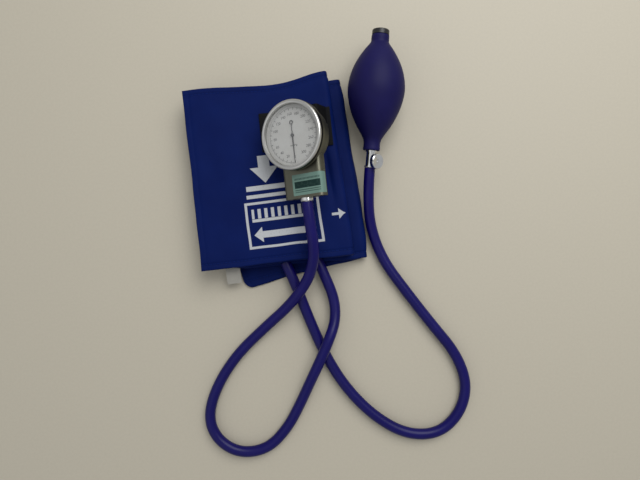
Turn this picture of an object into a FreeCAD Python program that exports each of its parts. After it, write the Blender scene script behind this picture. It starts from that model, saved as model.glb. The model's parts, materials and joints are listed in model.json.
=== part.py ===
import FreeCAD, Part
import math
import os

# Aneroid sphygmomanometer: a folded arm cuff with its rubber bladder, a dial gauge that hooks on a
# strap on the cuff, a squeeze bulb with its air valves, and the two hoses that join them.
# Millimetres. The origin is the middle of the folded cuff on the surface it lies on. +X runs to the
# right of the dial, +Y towards the top of the dial, and +Z up.

# Cuff: a strip of doubled cloth in four panels, folded to and fro
cuff_width = 142.0
cover_cloth = 1.2
flap_thickness = 3.0
top_panel_length = 112.0
upper_bladder_panel_length = 102.0
lower_bladder_panel_length = 112.6
bottom_panel_length = 107.7
top_panel_heading = 7.3
upper_bladder_panel_heading = 8.9
lower_bladder_panel_heading = 6.7
bottom_panel_heading = 15.1
top_fold_place = (47.9, 6.6)
top_end_turn = 6.4
top_fold_turn = 8.1
left_fold_turn = 7.0
low_fold_turn = 8.3
low_end_turn = 17.0
top_panel_gap = 1.0
bladder_panel_gap = 1.9

# Bladder: a flat rubber bag folded once inside the cover, with a spigot for each hose
bladder_thickness = 2.7
bladder_clearance = 0.2
bladder_side_margin = 11.0
bladder_end_margin = 12.0
bladder_air_gap = 0.6
bladder_seam = 6.0
spigot_radius = 2.2
spigot_bore_radius = 1.3
spigot_reach = 9.0
spigot_slant = 18.0
bulb_spigot_from_fold = 59.5
gauge_spigot_from_fold = 34.0

# Closure and cloth trim
hook_thickness = 1.1
loop_thickness = 1.1
hook_length = 62.0
hook_height = 104.0
hook_end_margin = 12.0
tag_width = 11.5
tag_length = 18.0
tag_thickness = 0.4
tag_overhang = 10.0
tag_from_fold = 6.0

# Hoses
hose_diameter = 8.5
hose_bore = 4.6
hose_fit = 0.02
hose_end_gap = 0.3

# Gauge pose: it leans to one side on its clip
gauge_place = (26.4, 23.8)
gauge_turn = 6.0
gauge_lean = 30.0

# Gauge case, bezel and glass
case_radius = 22.0
case_wall = 1.5
back_round = 5.0
bezel_wall = 1.6
bezel_lip = 1.6
bezel_lip_overlap = 1.4
bezel_round = 1.5
bezel_chamfer = 0.5
flange_overhang = 1.7
flange_depth = 2.6
rim_wall = 1.0
case_fit = 0.1
dial_thickness = 0.5
dial_ring_height = 0.9
dial_ring_width = 1.4
dial_ring_slope = 0.4
dial_hole_gap = 0.5
gasket_thickness = 0.5
gasket_width = 1.4
lens_thickness = 1.4
lens_dome = 0.5
lens_crown_radius = 2.0
lens_flat_margin = 0.3
neck_width = 33.0
neck_thickness = 10.0
neck_back = 3.0
neck_reach = 45.5
neck_round = 3.0

# Gauge movement
capsule_offset = 4.0
capsule_case_gap = 3.9
capsule_depth = 4.6
capsule_wall = 0.3
capsule_ripple = 0.45
capsule_ripples = 3
capsule_lift = 1.15
boss_radius = 5.0
boss_height = 1.5
stem_radius = 1.6
stem_bore_radius = 0.6
pad_radius = 1.8
pad_height = 1.0
pad_chamfer = 0.2
pad_stop_gap = 0.25
plate_thickness = 0.8
plate_spacing = 6.0
plate_case_gap = 1.1
upper_plate_inset = 2.0
plate_screw_radius = 0.8
plate_screw_depth = 4.0
plate_screw_head_radius = 1.5
plate_screw_head_height = 0.5
dial_gap = 0.6
post_radius = 1.8
post_inset = 1.9
post_angles = (55.0, 180.0, 290.0)
pillar_radius = 1.2
pillar_inset = 1.9
pillar_angles = (40.0, 206.6, 266.0)
pillar_screw_radius = 0.6
pillar_screw_depth = 2.0
pillar_screw_head_radius = 1.1
pillar_screw_head_height = 0.4
gear_module = 0.2
pinion_teeth = 12
sector_teeth = 108
gear_backlash = 0.03
gear_pressure_angle = 20.0
gear_root_share = 1.25
pinion_overlap = 0.3
sector_place_height = 5.0
sector_thickness = 0.8
sector_teeth_before = 13
sector_teeth_after = 2
sector_rim_width = 1.9
sector_arm_width = 1.4
sector_hub_radius = 1.3
arbor_radius = 0.5
pivot_clearance = 0.05
rocker_radius = 0.6
rocker_height = 1.2
rocker_arm_width = 1.2
rocker_arm_thickness = 1.0
rocker_swing = 14.0
arm_window_gap = 0.4
arm_window_back = 1.0
arm_tip_gap = 0.15
arm_tip_reach = 0.5
arm_nose = 0.4
arm_root_back = 0.3
arm_root_half = 0.6
arm_knee_forward = 1.2
arm_knee_drop = 1.3
shaft_left_end = 0.2
shaft_right_end = 0.9
finger_width = 0.8
finger_overlap = 0.3
finger_top_gap = 0.5
tail_reach = 2.0
tail_width = 1.0
contact_gap = 0.05
bracket_width = 1.6
bracket_half_depth = 1.3
bracket_crown = 1.2
bracket_finger_gap = 0.6
bracket_arm_gap = 0.5
hairspring_turns = 4
hairspring_start = 1.0
hairspring_pitch = 1.0
hairspring_strip = 0.16
hairspring_height = 0.6
hairspring_rocker_gap = 0.9
stud_radius = 0.5
pointer_sweep = 330.0
pointer_ring_gap = 1.6
pointer_dial_gap = 0.35
pointer_tip_width = 0.24
pointer_tail = 9.4
pointer_width = 0.9
pointer_thickness = 0.3
pointer_ring_radius = 1.5
pointer_ring_bar = 0.5
pointer_ring_overlap = 0.2
pointer_hub_radius = 1.3
pointer_hub_below = 0.1
pointer_hub_above = 0.4
arbor_end_above = 0.2

# Gauge inlet, clip, strap and label
inlet_thread_radius = 2.5
inlet_thread_length = 9.0
inlet_collar_radius = 5.0
inlet_collar_length = 2.6
inlet_collar_chamfer = 0.5
inlet_pipe_radius = 0.65
inlet_pipe_bore_radius = 0.35
inlet_pipe_shift = 0.4
inlet_pipe_slope = 1.4
inlet_pipe_sidestep = 1.0
barb_length = 12.0
barb_shank = 2.4
barb_ridges = 3
barb_bore_radius = 1.2
barb_core_radius = 1.9
clip_width = 18.0
clip_sheet = 1.0
clip_gap = 2.0
clip_bend_at = -7.5
clip_base_length = 20.0
clip_tongue_length = 28.5
rivet_radius = 1.0
rivet_spacing = 10.0
strap_thickness = 1.4
strap_width = 30.0
strap_length = 55.4
strap_centre_across = 9.6
strap_left_reach = 34.9
strap_shoulder = 10.5
strap_foot_length = 3.5
seat_gap = 0.15
label_left = -8.0
label_height = 15.5
label_foot = 2.0
label_wrap = 3.5
label_thickness = 0.12

# Bulb: its profile is given along its axis from the valve end
bulb_cuff_gap = 2.34
bulb_along_cuff = 63.0
bulb_turn = 4.2
bulb_lift = 5.0
bulb_radius = 22.4
bulb_widest_at = 46.5
bulb_neck_radius = 6.75
bulb_neck_length = 8.5
bulb_nub_radius = 6.9
bulb_nub_at = 82.0
bulb_nub_length = 6.5
bulb_wall = 2.2
bulb_flank_radius = 17.3
bulb_flank_at = 26.1
bulb_crown_radius = 16.9
bulb_crown_at = 68.3
bulb_bore_radius = 4.2
bulb_bore_runout = 1.5
bulb_rest_samples = 200

# Release valve on the bulb's neck
valve_body_radius = 3.8
valve_body_length = 13.0
valve_stem_length = 10.0
valve_lip_radius = 4.6
valve_lip_length = 1.2
valve_bore_radius = 0.9
knob_radius = 6.0
knob_thickness = 4.0
knob_at = 8.3
knob_roll = 40.0
knob_notches = 28
knob_notch_radius = 0.42
knob_gap = 0.3
knob_notch_share = 0.35
knob_chamfer = 0.6
knob_nub_radius = 1.1
knob_nub_height = 0.5
knob_dish_width = 0.4
knob_dish_depth = 0.3
knob_socket_fit = 0.02
screw_radius = 1.6
screw_tip_at = 1.1
screw_fit = 0.08
screw_seat_gap = 0.4
screw_pitch = 0.8
screw_turns = 1.5
screw_socket = 2.5
screw_socket_radius = 1.1
valve_boss_radius = 2.9
valve_boss_reach = 4.4
ring_groove_radius = 1.1
ring_groove_at = 1.9
ring_groove_width = 0.9
ring_fit = 0.03
check_chamber_radius = 2.2
check_ball_radius = 1.5
check_ball_travel = 1.0
check_seat_radius = 1.0
check_seat_length = 3.0
check_fit = 0.03

# Intake valve in the bulb's nub
intake_stem_length = 8.0
intake_head_radius = 6.6
intake_head_length = 3.8
intake_head_round = 1.2
intake_hole_radius = 1.3
intake_chamber_radius = 3.2
intake_disc_radius = 2.9
intake_disc_thickness = 0.8
intake_disc_travel = 0.8
intake_retainer_length = 1.6
intake_retainer_hole = 1.6
intake_filter_thickness = 0.5
intake_filter_radius = 3.0

# Each hose's route between its two fittings, in the order that the air takes from the cuff
bulb_hose_route = [
    (28.0, -117.0, 4.25), (41.0, -146.5, 4.25), (58.0, -173.5, 4.25), (81.0, -196.5, 4.25),
    (107.0, -211.0, 4.25), (133.0, -210.5, 4.25), (150.5, -194.0, 4.25), (156.5, -170.5, 4.25),
    (147.5, -145.5, 4.25), (127.2, -121.2, 4.25), (107.5, -96.0, 4.25), (88.0, -70.0, 4.25),
    (77.5, -43.0, 5.5),
]
gauge_hose_route = [
    (48.6, -101.5, 6.9), (49.4, -117.5, 8.6), (44.6, -131.5, 13.8), (36.4, -150.5, 14.2),
    (28.5, -168.5, 8.8), (20.5, -187.0, 4.9), (10.5, -206.0, 4.25), (-5.0, -222.5, 4.25),
    (-27.0, -226.5, 4.25), (-45.5, -216.5, 4.25), (-54.0, -198.0, 4.25), (-47.5, -173.0, 4.25),
    (-30.5, -146.0, 4.25), (-6.0, -122.5, 6.0), (12.5, -105.5, 13.2), (27.0, -86.0, 22.4),
    (32.6, -68.0, 31.0), (31.6, -53.0, 37.0),
]
spigot_run = 15.0
valve_run = 20.0
inlet_run = 13.0
bend_share = 0.45

# How far a cutting tool runs past a face, and how near two points are the same point
past = 1.0
same_point = 1e-7

X_AXIS = FreeCAD.Vector(1, 0, 0)
Y_AXIS = FreeCAD.Vector(0, 1, 0)
Z_AXIS = FreeCAD.Vector(0, 0, 1)
ORIGIN = FreeCAD.Vector(0, 0, 0)


def vec(x, y, z=0.0):
    return FreeCAD.Vector(x, y, z)


def fuse(shapes):
    shapes = list(shapes)
    if len(shapes) == 1:
        return shapes[0]
    return shapes[0].multiFuse(shapes[1:]).removeSplitter()


def cut(shape, *tools):
    return shape.cut(list(tools)) if tools else shape


def rod(radius, start, end):
    """A round rod from one point to another."""
    return Part.makeCylinder(radius, (end - start).Length, start, end - start)


def pipe(outer, inner, start, end):
    """A straight pipe from one point to another."""
    return rod(outer, start, end).cut(rod(inner, start, end))


def post(radius, x, y, low, high):
    """A rod along Z."""
    return rod(radius, vec(x, y, low), vec(x, y, high))


def block(low, high):
    """A box between two corners."""
    size = [b - a for a, b in zip(low, high)]
    return Part.makeBox(*size, vec(*low))


def prism(points, low, high):
    """A polygon of the XY plane, extruded from one height to another."""
    corners = [vec(x, y, low) for x, y in points]
    face = Part.Face(Part.makePolygon(corners + corners[:1]))
    return face.extrude(vec(0, 0, high - low))


def turned(edges):
    """A solid of revolution about Z from edges in the XZ half plane, closed along the axis if need be."""
    return Part.Face(Part.Wire(edges)).revolve(ORIGIN, Z_AXIS, 360)


def outline(*points):
    """Edges through (radius, height) points. A point of four numbers is the middle and the end of an arc."""
    edges = []
    here = vec(points[0][0], 0, points[0][1])
    for point in list(points[1:]) + [points[0]]:
        there = vec(point[-2], 0, point[-1])
        if (there - here).Length < same_point:
            continue
        if len(point) == 4:
            edges.append(Part.Arc(here, vec(point[0], 0, point[1]), there).toShape())
        else:
            edges.append(Part.LineSegment(here, there).toShape())
        here = there
    return edges


def corner_arc(radius, height, size, across, up):
    """The middle and the end of a quarter arc that rounds a corner at (radius, height)."""
    centre = (radius - across * size, height - up * size)
    diagonal = size * math.sqrt(0.5)
    return (centre[0] + across * diagonal, centre[1] + up * diagonal)


def polar(radius, degrees):
    angle = math.radians(degrees)
    return radius * math.cos(angle), radius * math.sin(angle)


# Cuff panels and folds
pocket_thickness = bladder_thickness + 2 * (bladder_clearance + cover_cloth)
bottom_panel = (0.0, flap_thickness)
lower_panel_low = flap_thickness + hook_thickness + loop_thickness
lower_panel = (lower_panel_low, lower_panel_low + pocket_thickness)
upper_panel = (lower_panel[1] + bladder_panel_gap, lower_panel[1] + bladder_panel_gap + pocket_thickness)
top_panel = (upper_panel[1] + top_panel_gap, upper_panel[1] + top_panel_gap + flap_thickness)
cuff_top = top_panel[1]


class CrossLine:
    """A straight line across the cuff, at a fold or an end."""

    def __init__(self, middle, turn, length=cuff_width):
        self.middle = vec(*middle)
        self.turn = turn
        self.length = length
        self.across = vec(-math.sin(math.radians(turn)), math.cos(math.radians(turn)))
        self.bottom = self.middle - self.across * (length / 2)
        self.top = self.middle + self.across * (length / 2)

    def moved(self, length, heading):
        """The middle of a line that lies this far along a panel."""
        step = polar(length, heading)
        return (self.middle.x + step[0], self.middle.y + step[1])

    def inset(self, length, heading, margin):
        """A shorter line beside this one."""
        return CrossLine(self.moved(length, heading), self.turn, self.length - 2 * margin)


top_fold = CrossLine(top_fold_place, top_fold_turn)
top_end = CrossLine(top_fold.moved(-top_panel_length, top_panel_heading), top_end_turn)
left_fold = CrossLine(
    top_fold.moved(-upper_bladder_panel_length, upper_bladder_panel_heading), left_fold_turn
)
low_fold = CrossLine(
    left_fold.moved(lower_bladder_panel_length, lower_bladder_panel_heading), low_fold_turn
)
low_end = CrossLine(low_fold.moved(-bottom_panel_length, bottom_panel_heading), low_end_turn)


def panel_slab(left, right, levels):
    """A flat panel between two cross lines."""
    corners = [(p.x, p.y) for p in (left.bottom, right.bottom, right.top, left.top)]
    return prism(corners, levels[0], levels[1])


def fold_bend(line, side, low, high):
    """The round fold that joins a low and a high panel at a cross line."""
    outward = vec(math.cos(math.radians(line.turn)), math.sin(math.radians(line.turn))) * side

    def arc(start, end):
        middle = line.bottom + outward * ((end - start) / 2) + vec(0, 0, (start + end) / 2)
        return Part.Arc(line.bottom + vec(0, 0, start), middle, line.bottom + vec(0, 0, end)).toShape()

    def step(start, end):
        return Part.LineSegment(line.bottom + vec(0, 0, start), line.bottom + vec(0, 0, end)).toShape()

    outside, inside = arc(low[0], high[1]), arc(low[1], high[0])
    wire = Part.Wire([outside, step(high[1], high[0]), inside, step(low[1], low[0])])
    return Part.Face(wire).extrude(line.top - line.bottom)


def middle_of(levels, thickness):
    """The levels of a thinner sheet in the middle of a panel."""
    centre = (levels[0] + levels[1]) / 2
    return (centre - thickness / 2, centre + thickness / 2)


def bladder_bag(thickness, grow):
    """The folded bag, grown outwards by a clearance or inwards by a seam."""
    side = bladder_side_margin - grow
    end = bladder_end_margin - grow
    upper = middle_of(upper_panel, thickness)
    lower = middle_of(lower_panel, thickness)
    upper_end = top_fold.inset(-end, upper_bladder_panel_heading, side)
    lower_end = low_fold.inset(-end, lower_bladder_panel_heading, side)
    bend = left_fold.inset(0, 0, side)
    return fuse([
        panel_slab(bend, upper_end, upper),
        panel_slab(bend, lower_end, lower),
        fold_bend(bend, -1, lower, upper),
    ])


class Spigot:
    """A hose stub at the lower edge of the lower bladder panel."""

    def __init__(self, from_fold):
        edge = (left_fold.bottom - low_fold.bottom).normalize()
        height = sum(lower_panel) / 2
        self.at_edge = low_fold.bottom + edge * from_fold + vec(0, 0, height)
        away = math.degrees(math.atan2(-edge.y, -edge.x)) - 90 + spigot_slant
        self.direction = vec(*polar(1.0, away))
        self.inside = bladder_side_margin / math.cos(math.radians(spigot_slant)) + bladder_seam
        self.hose_gap = hose_diameter / 2 * math.tan(math.radians(spigot_slant)) + hose_end_gap
        self.hose_start = self.at_edge + self.direction * self.hose_gap

    def along(self, distance):
        return self.at_edge + self.direction * distance

    def stub(self, radius):
        return rod(radius, self.along(-self.inside), self.along(spigot_reach))


bulb_spigot = Spigot(bulb_spigot_from_fold)
gauge_spigot = Spigot(gauge_spigot_from_fold)
spigots = (bulb_spigot, gauge_spigot)


def cuff_cover():
    body = fuse([
        panel_slab(low_end, low_fold, bottom_panel),
        panel_slab(left_fold, low_fold, lower_panel),
        panel_slab(left_fold, top_fold, upper_panel),
        panel_slab(top_end, top_fold, top_panel),
        fold_bend(low_fold, 1, bottom_panel, lower_panel),
        fold_bend(left_fold, -1, lower_panel, upper_panel),
        fold_bend(top_fold, 1, upper_panel, top_panel),
    ])
    pocket = bladder_bag(bladder_thickness + 2 * bladder_clearance, bladder_clearance)
    return cut(body, pocket, *[s.stub(spigot_radius + bladder_clearance) for s in spigots])


def bladder():
    bag = fuse([bladder_bag(bladder_thickness, 0.0)] + [s.stub(spigot_radius) for s in spigots])
    air = fuse([bladder_bag(bladder_air_gap, -bladder_seam)] + [s.stub(spigot_bore_radius) for s in spigots])
    return bag.cut(air)


def closure_strip(levels):
    """One half of the hook and loop closure, between the bottom panel and the lower bladder panel."""
    right = low_end.inset(hook_end_margin + hook_length, bottom_panel_heading, (cuff_width - hook_height) / 2)
    left = low_end.inset(hook_end_margin, bottom_panel_heading, (cuff_width - hook_height) / 2)
    return panel_slab(left, right, levels)


def hook_strip():
    return closure_strip((flap_thickness, flap_thickness + hook_thickness))


def loop_strip():
    return closure_strip((flap_thickness + hook_thickness, lower_panel_low))


def care_tag():
    """A blank cloth tag that lies on the lower bladder panel and sticks out past its edge."""
    edge = (low_fold.bottom - left_fold.bottom).normalize()
    out = vec(edge.y, -edge.x)
    corner = left_fold.bottom + edge * tag_from_fold + out * (tag_overhang - tag_length)
    corners = [corner, corner + edge * tag_width]
    corners += [corners[1] + out * tag_length, corner + out * tag_length]
    return prism([(p.x, p.y) for p in corners], lower_panel[1], lower_panel[1] + tag_thickness)


# Gauge levels, along its own axis from its back
case_floor = case_wall
case_inner_radius = case_radius - case_wall
flange_radius = case_radius + flange_overhang
recess_radius = flange_radius - rim_wall
bezel_radius = flange_radius + case_fit + bezel_wall
bezel_lip_radius = flange_radius - bezel_lip_overlap
dial_ring_inner_radius = recess_radius - case_fit - dial_ring_width
lower_plate_radius = case_inner_radius - plate_case_gap
upper_plate_radius = lower_plate_radius - upper_plate_inset
post_places = [polar(lower_plate_radius - post_inset, a) for a in post_angles]
pillar_places = [polar(upper_plate_radius - pillar_inset, a) for a in pillar_angles]
capsule_radius = case_inner_radius - capsule_offset - capsule_case_gap
pointer_length = dial_ring_inner_radius - pointer_ring_gap
capsule_low = case_floor + boss_height
capsule_high = capsule_low + capsule_depth
pad_top = capsule_high + pad_height
lower_plate_low = pad_top + capsule_lift + pad_stop_gap
lower_plate_high = lower_plate_low + plate_thickness
upper_plate_low = lower_plate_high + plate_spacing
upper_plate_high = upper_plate_low + plate_thickness
dial_low = upper_plate_high + dial_gap
dial_high = dial_low + dial_thickness
rim_top = dial_high + dial_ring_height
lens_low = rim_top + gasket_thickness
lens_edge = lens_low + lens_thickness
bezel_front = lens_edge + bezel_lip
flange_low = dial_low - flange_depth
neck_front = neck_back + neck_thickness
neck_middle = neck_back + neck_thickness / 2
lean_sine = math.sin(math.radians(gauge_lean))
lean_cosine = math.cos(math.radians(gauge_lean))

# The rounded back edge of the leaning case rests on the flat part of the strap
gauge_height = (
    cuff_top + strap_thickness + seat_gap
    + (case_radius - back_round) * lean_sine + back_round * (1 - lean_cosine)
)
gauge_rotation = FreeCAD.Rotation(Z_AXIS, gauge_turn).multiply(FreeCAD.Rotation(Y_AXIS, -gauge_lean))
gauge_frame = FreeCAD.Placement(vec(gauge_place[0], gauge_place[1], gauge_height), gauge_rotation)
strap_frame = FreeCAD.Placement(vec(*gauge_place), FreeCAD.Rotation(Z_AXIS, gauge_turn))

# Movement layout
pinion_pitch_radius = gear_module * pinion_teeth / 2
sector_pitch_radius = gear_module * sector_teeth / 2
gear_distance = pinion_pitch_radius + sector_pitch_radius
sector_place = (-math.sqrt(gear_distance**2 - sector_place_height**2), sector_place_height)
sector_heading = math.degrees(math.atan2(-sector_place[1], -sector_place[0]))
sector_pitch = 360.0 / sector_teeth
sector_swing = pointer_sweep * pinion_teeth / sector_teeth
sector_high = upper_plate_low - finger_top_gap - finger_overlap
sector_low = sector_high - sector_thickness
rocker_axis_height = lower_plate_high + rocker_height
rocker_axis_y = sector_place[1] - tail_width / 2 - finger_width / 2 - contact_gap
finger_x = sector_place[0] + tail_reach
hairspring_low = rocker_axis_height + rocker_radius + hairspring_rocker_gap
hairspring_end_radius = hairspring_start + hairspring_turns * hairspring_pitch
pointer_low = dial_high + pointer_dial_gap
pointer_high = pointer_low + pointer_thickness
arbor_end = pointer_high + arbor_end_above
inlet_end = -neck_reach - inlet_collar_length


def gauge_case():
    back_mid = corner_arc(case_radius, 0, back_round, 1, -1)
    shell = turned(outline(
        (0, 0), (case_radius - back_round, 0), (*back_mid, case_radius, back_round),
        (case_radius, flange_low), (flange_radius, flange_low), (flange_radius, rim_top), (0, rim_top),
    ))
    neck = block((-neck_width / 2, -neck_reach, neck_back), (neck_width / 2, 0, neck_front))
    along = [e for e in neck.Edges if abs(e.tangentAt(e.FirstParameter).y) > 0.99]
    neck = neck.makeFillet(neck_round, along)
    inner_round = back_round - case_wall
    inner_mid = corner_arc(case_inner_radius, case_floor, inner_round, 1, -1)
    hollow = turned(outline(
        (0, case_floor), (case_inner_radius - inner_round, case_floor),
        (*inner_mid, case_inner_radius, case_floor + inner_round), (case_inner_radius, dial_low),
        (recess_radius, dial_low), (recess_radius, rim_top + past), (0, rim_top + past),
    ))
    body = fuse([shell, neck]).cut(hollow)
    posts = [post(post_radius, *p, case_floor, lower_plate_low) for p in post_places]
    boss = post(boss_radius, capsule_offset, 0, case_floor, capsule_low)
    body = fuse([body, boss] + posts)
    thread_end = -neck_reach + inlet_thread_length
    holes = [
        rod(inlet_thread_radius, vec(0, -neck_reach - past, neck_middle), vec(0, thread_end, neck_middle)),
        inlet_pipe_shape(inlet_pipe_radius),
        post(stem_radius, capsule_offset, 0, case_floor, capsule_low + past),
    ]
    holes += [plate_screw_shank(p) for p in post_places]
    holes += [post(rivet_radius, 0, y, -past, case_wall) for y in rivet_heights]
    return cut(body, *holes)


def inlet_pipe_points():
    """The thin pipe's route from the barb's thread, under the capsule, to its boss."""
    start = vec(0, -neck_reach + inlet_thread_length, neck_middle)
    run_height = case_floor + boss_height / 2
    drop = -(capsule_radius + case_inner_radius) / 2 - inlet_pipe_shift
    return [
        start, vec(0, drop - inlet_pipe_slope, neck_middle),
        vec(inlet_pipe_sidestep, drop + inlet_pipe_slope, run_height),
        vec(capsule_offset, -boss_radius - inlet_pipe_sidestep, run_height),
        vec(capsule_offset, -stem_radius, run_height),
    ]


def inlet_pipe_shape(radius):
    return bent_tube(inlet_pipe_points(), radius)[0]


def inlet_pipe():
    return inlet_pipe_shape(inlet_pipe_radius).cut(inlet_pipe_shape(inlet_pipe_bore_radius))


def bezel_ring():
    inside = flange_radius + case_fit
    round_mid = corner_arc(bezel_radius, bezel_front, bezel_round, 1, 1)
    slope = bezel_chamfer
    return turned(outline(
        (inside, flange_low), (bezel_radius - slope, flange_low), (bezel_radius, flange_low + slope),
        (bezel_radius, bezel_front - bezel_round), (*round_mid, bezel_radius - bezel_round, bezel_front),
        (bezel_lip_radius + slope, bezel_front - slope / 2), (bezel_lip_radius, lens_edge),
        (inside, lens_edge),
    ))


def lens():
    radius = flange_radius
    top = lens_edge + lens_dome
    quarter = lens_edge + lens_dome * 0.75
    flat = bezel_lip_radius - lens_flat_margin
    return turned(outline(
        (0, lens_low), (radius, lens_low), (radius, lens_edge), (flat, lens_edge),
        (flat / 2, quarter, lens_crown_radius, top), (0, top),
    ))


def lens_gasket():
    outer = flange_radius
    return turned(outline(
        (outer - gasket_width, rim_top), (outer, rim_top), (outer, lens_low), (outer - gasket_width, lens_low)
    ))


def dial_ring():
    outer = recess_radius - case_fit
    inner = dial_ring_inner_radius
    return turned(outline(
        (inner + dial_ring_slope, dial_high), (outer, dial_high), (outer, rim_top), (inner, rim_top),
    ))


def dial_plate():
    hole = arbor_radius + dial_hole_gap
    return pipe(recess_radius - case_fit, hole, vec(0, 0, dial_low), vec(0, 0, dial_high))


def rippled_sheet(low, side):
    """The edges of a round sheet pressed into rings, from the stem out to the rim."""
    inner = stem_radius
    step = (capsule_radius - inner) / capsule_ripples
    edges = []
    for ring in range(capsule_ripples):
        start = inner + ring * step
        bulge = capsule_ripple * side * (1 if ring % 2 else -1)
        edges.append(Part.Arc(vec(start, 0, low), vec(start + step / 2, 0, low + bulge),
                              vec(start + step, 0, low)).toShape())
    return edges


def capsule():
    """Two rippled sheets joined at a rim, with the air space between them."""
    def drum(low, high):
        bottom = rippled_sheet(low, 1)
        top = rippled_sheet(high, -1)
        rim = Part.LineSegment(vec(capsule_radius, 0, low), vec(capsule_radius, 0, high)).toShape()
        core = Part.LineSegment(vec(stem_radius, 0, low), vec(stem_radius, 0, high)).toShape()
        return turned(Part.sortEdges(bottom + [rim] + top + [core])[0])

    outer = fuse([
        drum(capsule_low + capsule_ripple, capsule_high - capsule_ripple),
        post(stem_radius, 0, 0, capsule_low, capsule_high),
    ])
    gap = capsule_ripple + capsule_wall
    trim = pipe(capsule_radius + past, capsule_radius - capsule_wall, ORIGIN, vec(0, 0, bezel_front))
    inner = drum(capsule_low + gap, capsule_high - gap).cut(trim)
    inner = fuse([inner, post(stem_radius, 0, 0, capsule_low + gap, capsule_high - gap)])
    feed = post(stem_bore_radius, 0, 0, capsule_low - past, capsule_high - gap)
    body = outer.cut(fuse([inner, feed]))
    return body.translated(vec(capsule_offset, 0))


def capsule_stem():
    """The hollow stud that carries the capsule, fed from the side by the thin pipe."""
    stud = pipe(stem_radius, stem_bore_radius, vec(0, 0, case_floor), vec(0, 0, capsule_low))
    height = case_floor + boss_height / 2
    feed = rod(inlet_pipe_bore_radius, vec(0, -stem_radius - past, height), vec(0, 0, height))
    return stud.cut(feed).translated(vec(capsule_offset, 0))


def capsule_pad():
    return turned(outline(
        (0, capsule_high), (pad_radius, capsule_high), (pad_radius, pad_top - pad_chamfer),
        (pad_radius - pad_chamfer, pad_top), (0, pad_top),
    )).translated(vec(capsule_offset, 0))


def plate_screw_shank(place):
    return post(plate_screw_radius, *place, lower_plate_low - plate_screw_depth, lower_plate_high)


def plate_screws():
    """The screws that hold the lower plate on the posts of the case."""
    top = lower_plate_high + plate_screw_head_height
    heads = [post(plate_screw_head_radius, *p, lower_plate_high, top) for p in post_places]
    return Part.Compound([fuse([plate_screw_shank(p), h]) for p, h in zip(post_places, heads)])


def lower_plate():
    plate = post(lower_plate_radius, 0, 0, lower_plate_low, lower_plate_high)
    arm_window_half = rocker_arm_width / 2 + arm_window_gap
    window = block(
        (capsule_offset - arm_window_half, -pad_radius, lower_plate_low - past),
        (capsule_offset + arm_window_half, rocker_axis_y + arm_window_back, lower_plate_high + past),
    )
    holes = [
        post(arbor_radius + pivot_clearance, *p, lower_plate_low - past, lower_plate_high + past)
        for p in ((0, 0), sector_place)
    ]
    holes += [plate_screw_shank(p) for p in post_places]
    return cut(plate, window, *holes)


def pillar_screw(place):
    shank = post(pillar_screw_radius, *place, upper_plate_low - pillar_screw_depth, upper_plate_high)
    top = upper_plate_high + pillar_screw_head_height
    return fuse([shank, post(pillar_screw_head_radius, *place, upper_plate_high, top)])


def pillar_screws():
    return Part.Compound([pillar_screw(p) for p in pillar_places])


def plate_pillars():
    pillars = [post(pillar_radius, *p, lower_plate_high, upper_plate_low) for p in pillar_places]
    return Part.Compound([p.cut(pillar_screw(q)) for p, q in zip(pillars, pillar_places)])


def upper_plate():
    plate = post(upper_plate_radius, 0, 0, upper_plate_low, upper_plate_high)
    holes = [
        post(arbor_radius + pivot_clearance, *p, upper_plate_low - past, upper_plate_high + past)
        for p in ((0, 0), sector_place)
    ]
    holes += [pillar_screw(p) for p in pillar_places]
    return cut(plate, *holes)


def tooth_points(teeth, centre):
    """One involute tooth, from root to root, around the heading of its middle."""
    pitch_radius = gear_module * teeth / 2
    pressure = math.radians(gear_pressure_angle)
    base_radius = pitch_radius * math.cos(pressure)
    root, tip = pitch_radius - gear_root_share * gear_module, pitch_radius + gear_module

    def half_angle(radius):
        slope = math.acos(min(1.0, base_radius / max(radius, base_radius)))
        spread = math.tan(pressure) - pressure - (math.tan(slope) - slope)
        return math.pi / (2 * teeth) - gear_backlash / (2 * pitch_radius) + spread

    radii = [root, pitch_radius, tip]
    left = [(r, -half_angle(r)) for r in radii]
    right = [(r, half_angle(r)) for r in reversed(radii)]
    return [polar(r, centre + math.degrees(a)) for r, a in left + right]


def pinion_arbor():
    shaft = post(arbor_radius, 0, 0, lower_plate_low, arbor_end)
    pitch = 360.0 / pinion_teeth
    facing = sector_heading + 180 + pitch / 2
    points = []
    for tooth in range(pinion_teeth):
        points += tooth_points(pinion_teeth, facing + tooth * pitch)
    return fuse([shaft, prism(points, sector_low - pinion_overlap, sector_high + pinion_overlap)])


def sector_gear():
    """The toothed rim on one arm, with a hub and the tail that the rocker's finger pushes."""
    root = sector_pitch_radius - gear_root_share * gear_module
    inside = root - sector_rim_width
    first = sector_heading - sector_teeth_before * sector_pitch
    last = sector_heading + sector_teeth_after * sector_pitch
    points = []
    for tooth in range(-sector_teeth_before, sector_teeth_after + 1):
        points += tooth_points(sector_teeth, sector_heading + tooth * sector_pitch)
    points += [polar(inside, last), polar(inside, (first + last) / 2), polar(inside, first)]
    rim = prism(points, sector_low, sector_high)
    arm = block((0, -sector_arm_width, sector_low), (root, 0, sector_high))
    arm.rotate(ORIGIN, Z_AXIS, first)
    hub = post(sector_hub_radius, 0, 0, sector_low, sector_high)
    tail = block((0, -tail_width / 2, sector_low), (tail_reach + finger_width, tail_width / 2, sector_high))
    body = fuse([rim, arm, hub, tail]).cut(post(arbor_radius, 0, 0, sector_low, sector_high))
    return body.translated(vec(*sector_place))


def sector_arbor():
    return post(arbor_radius, *sector_place, lower_plate_low, upper_plate_high)


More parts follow.
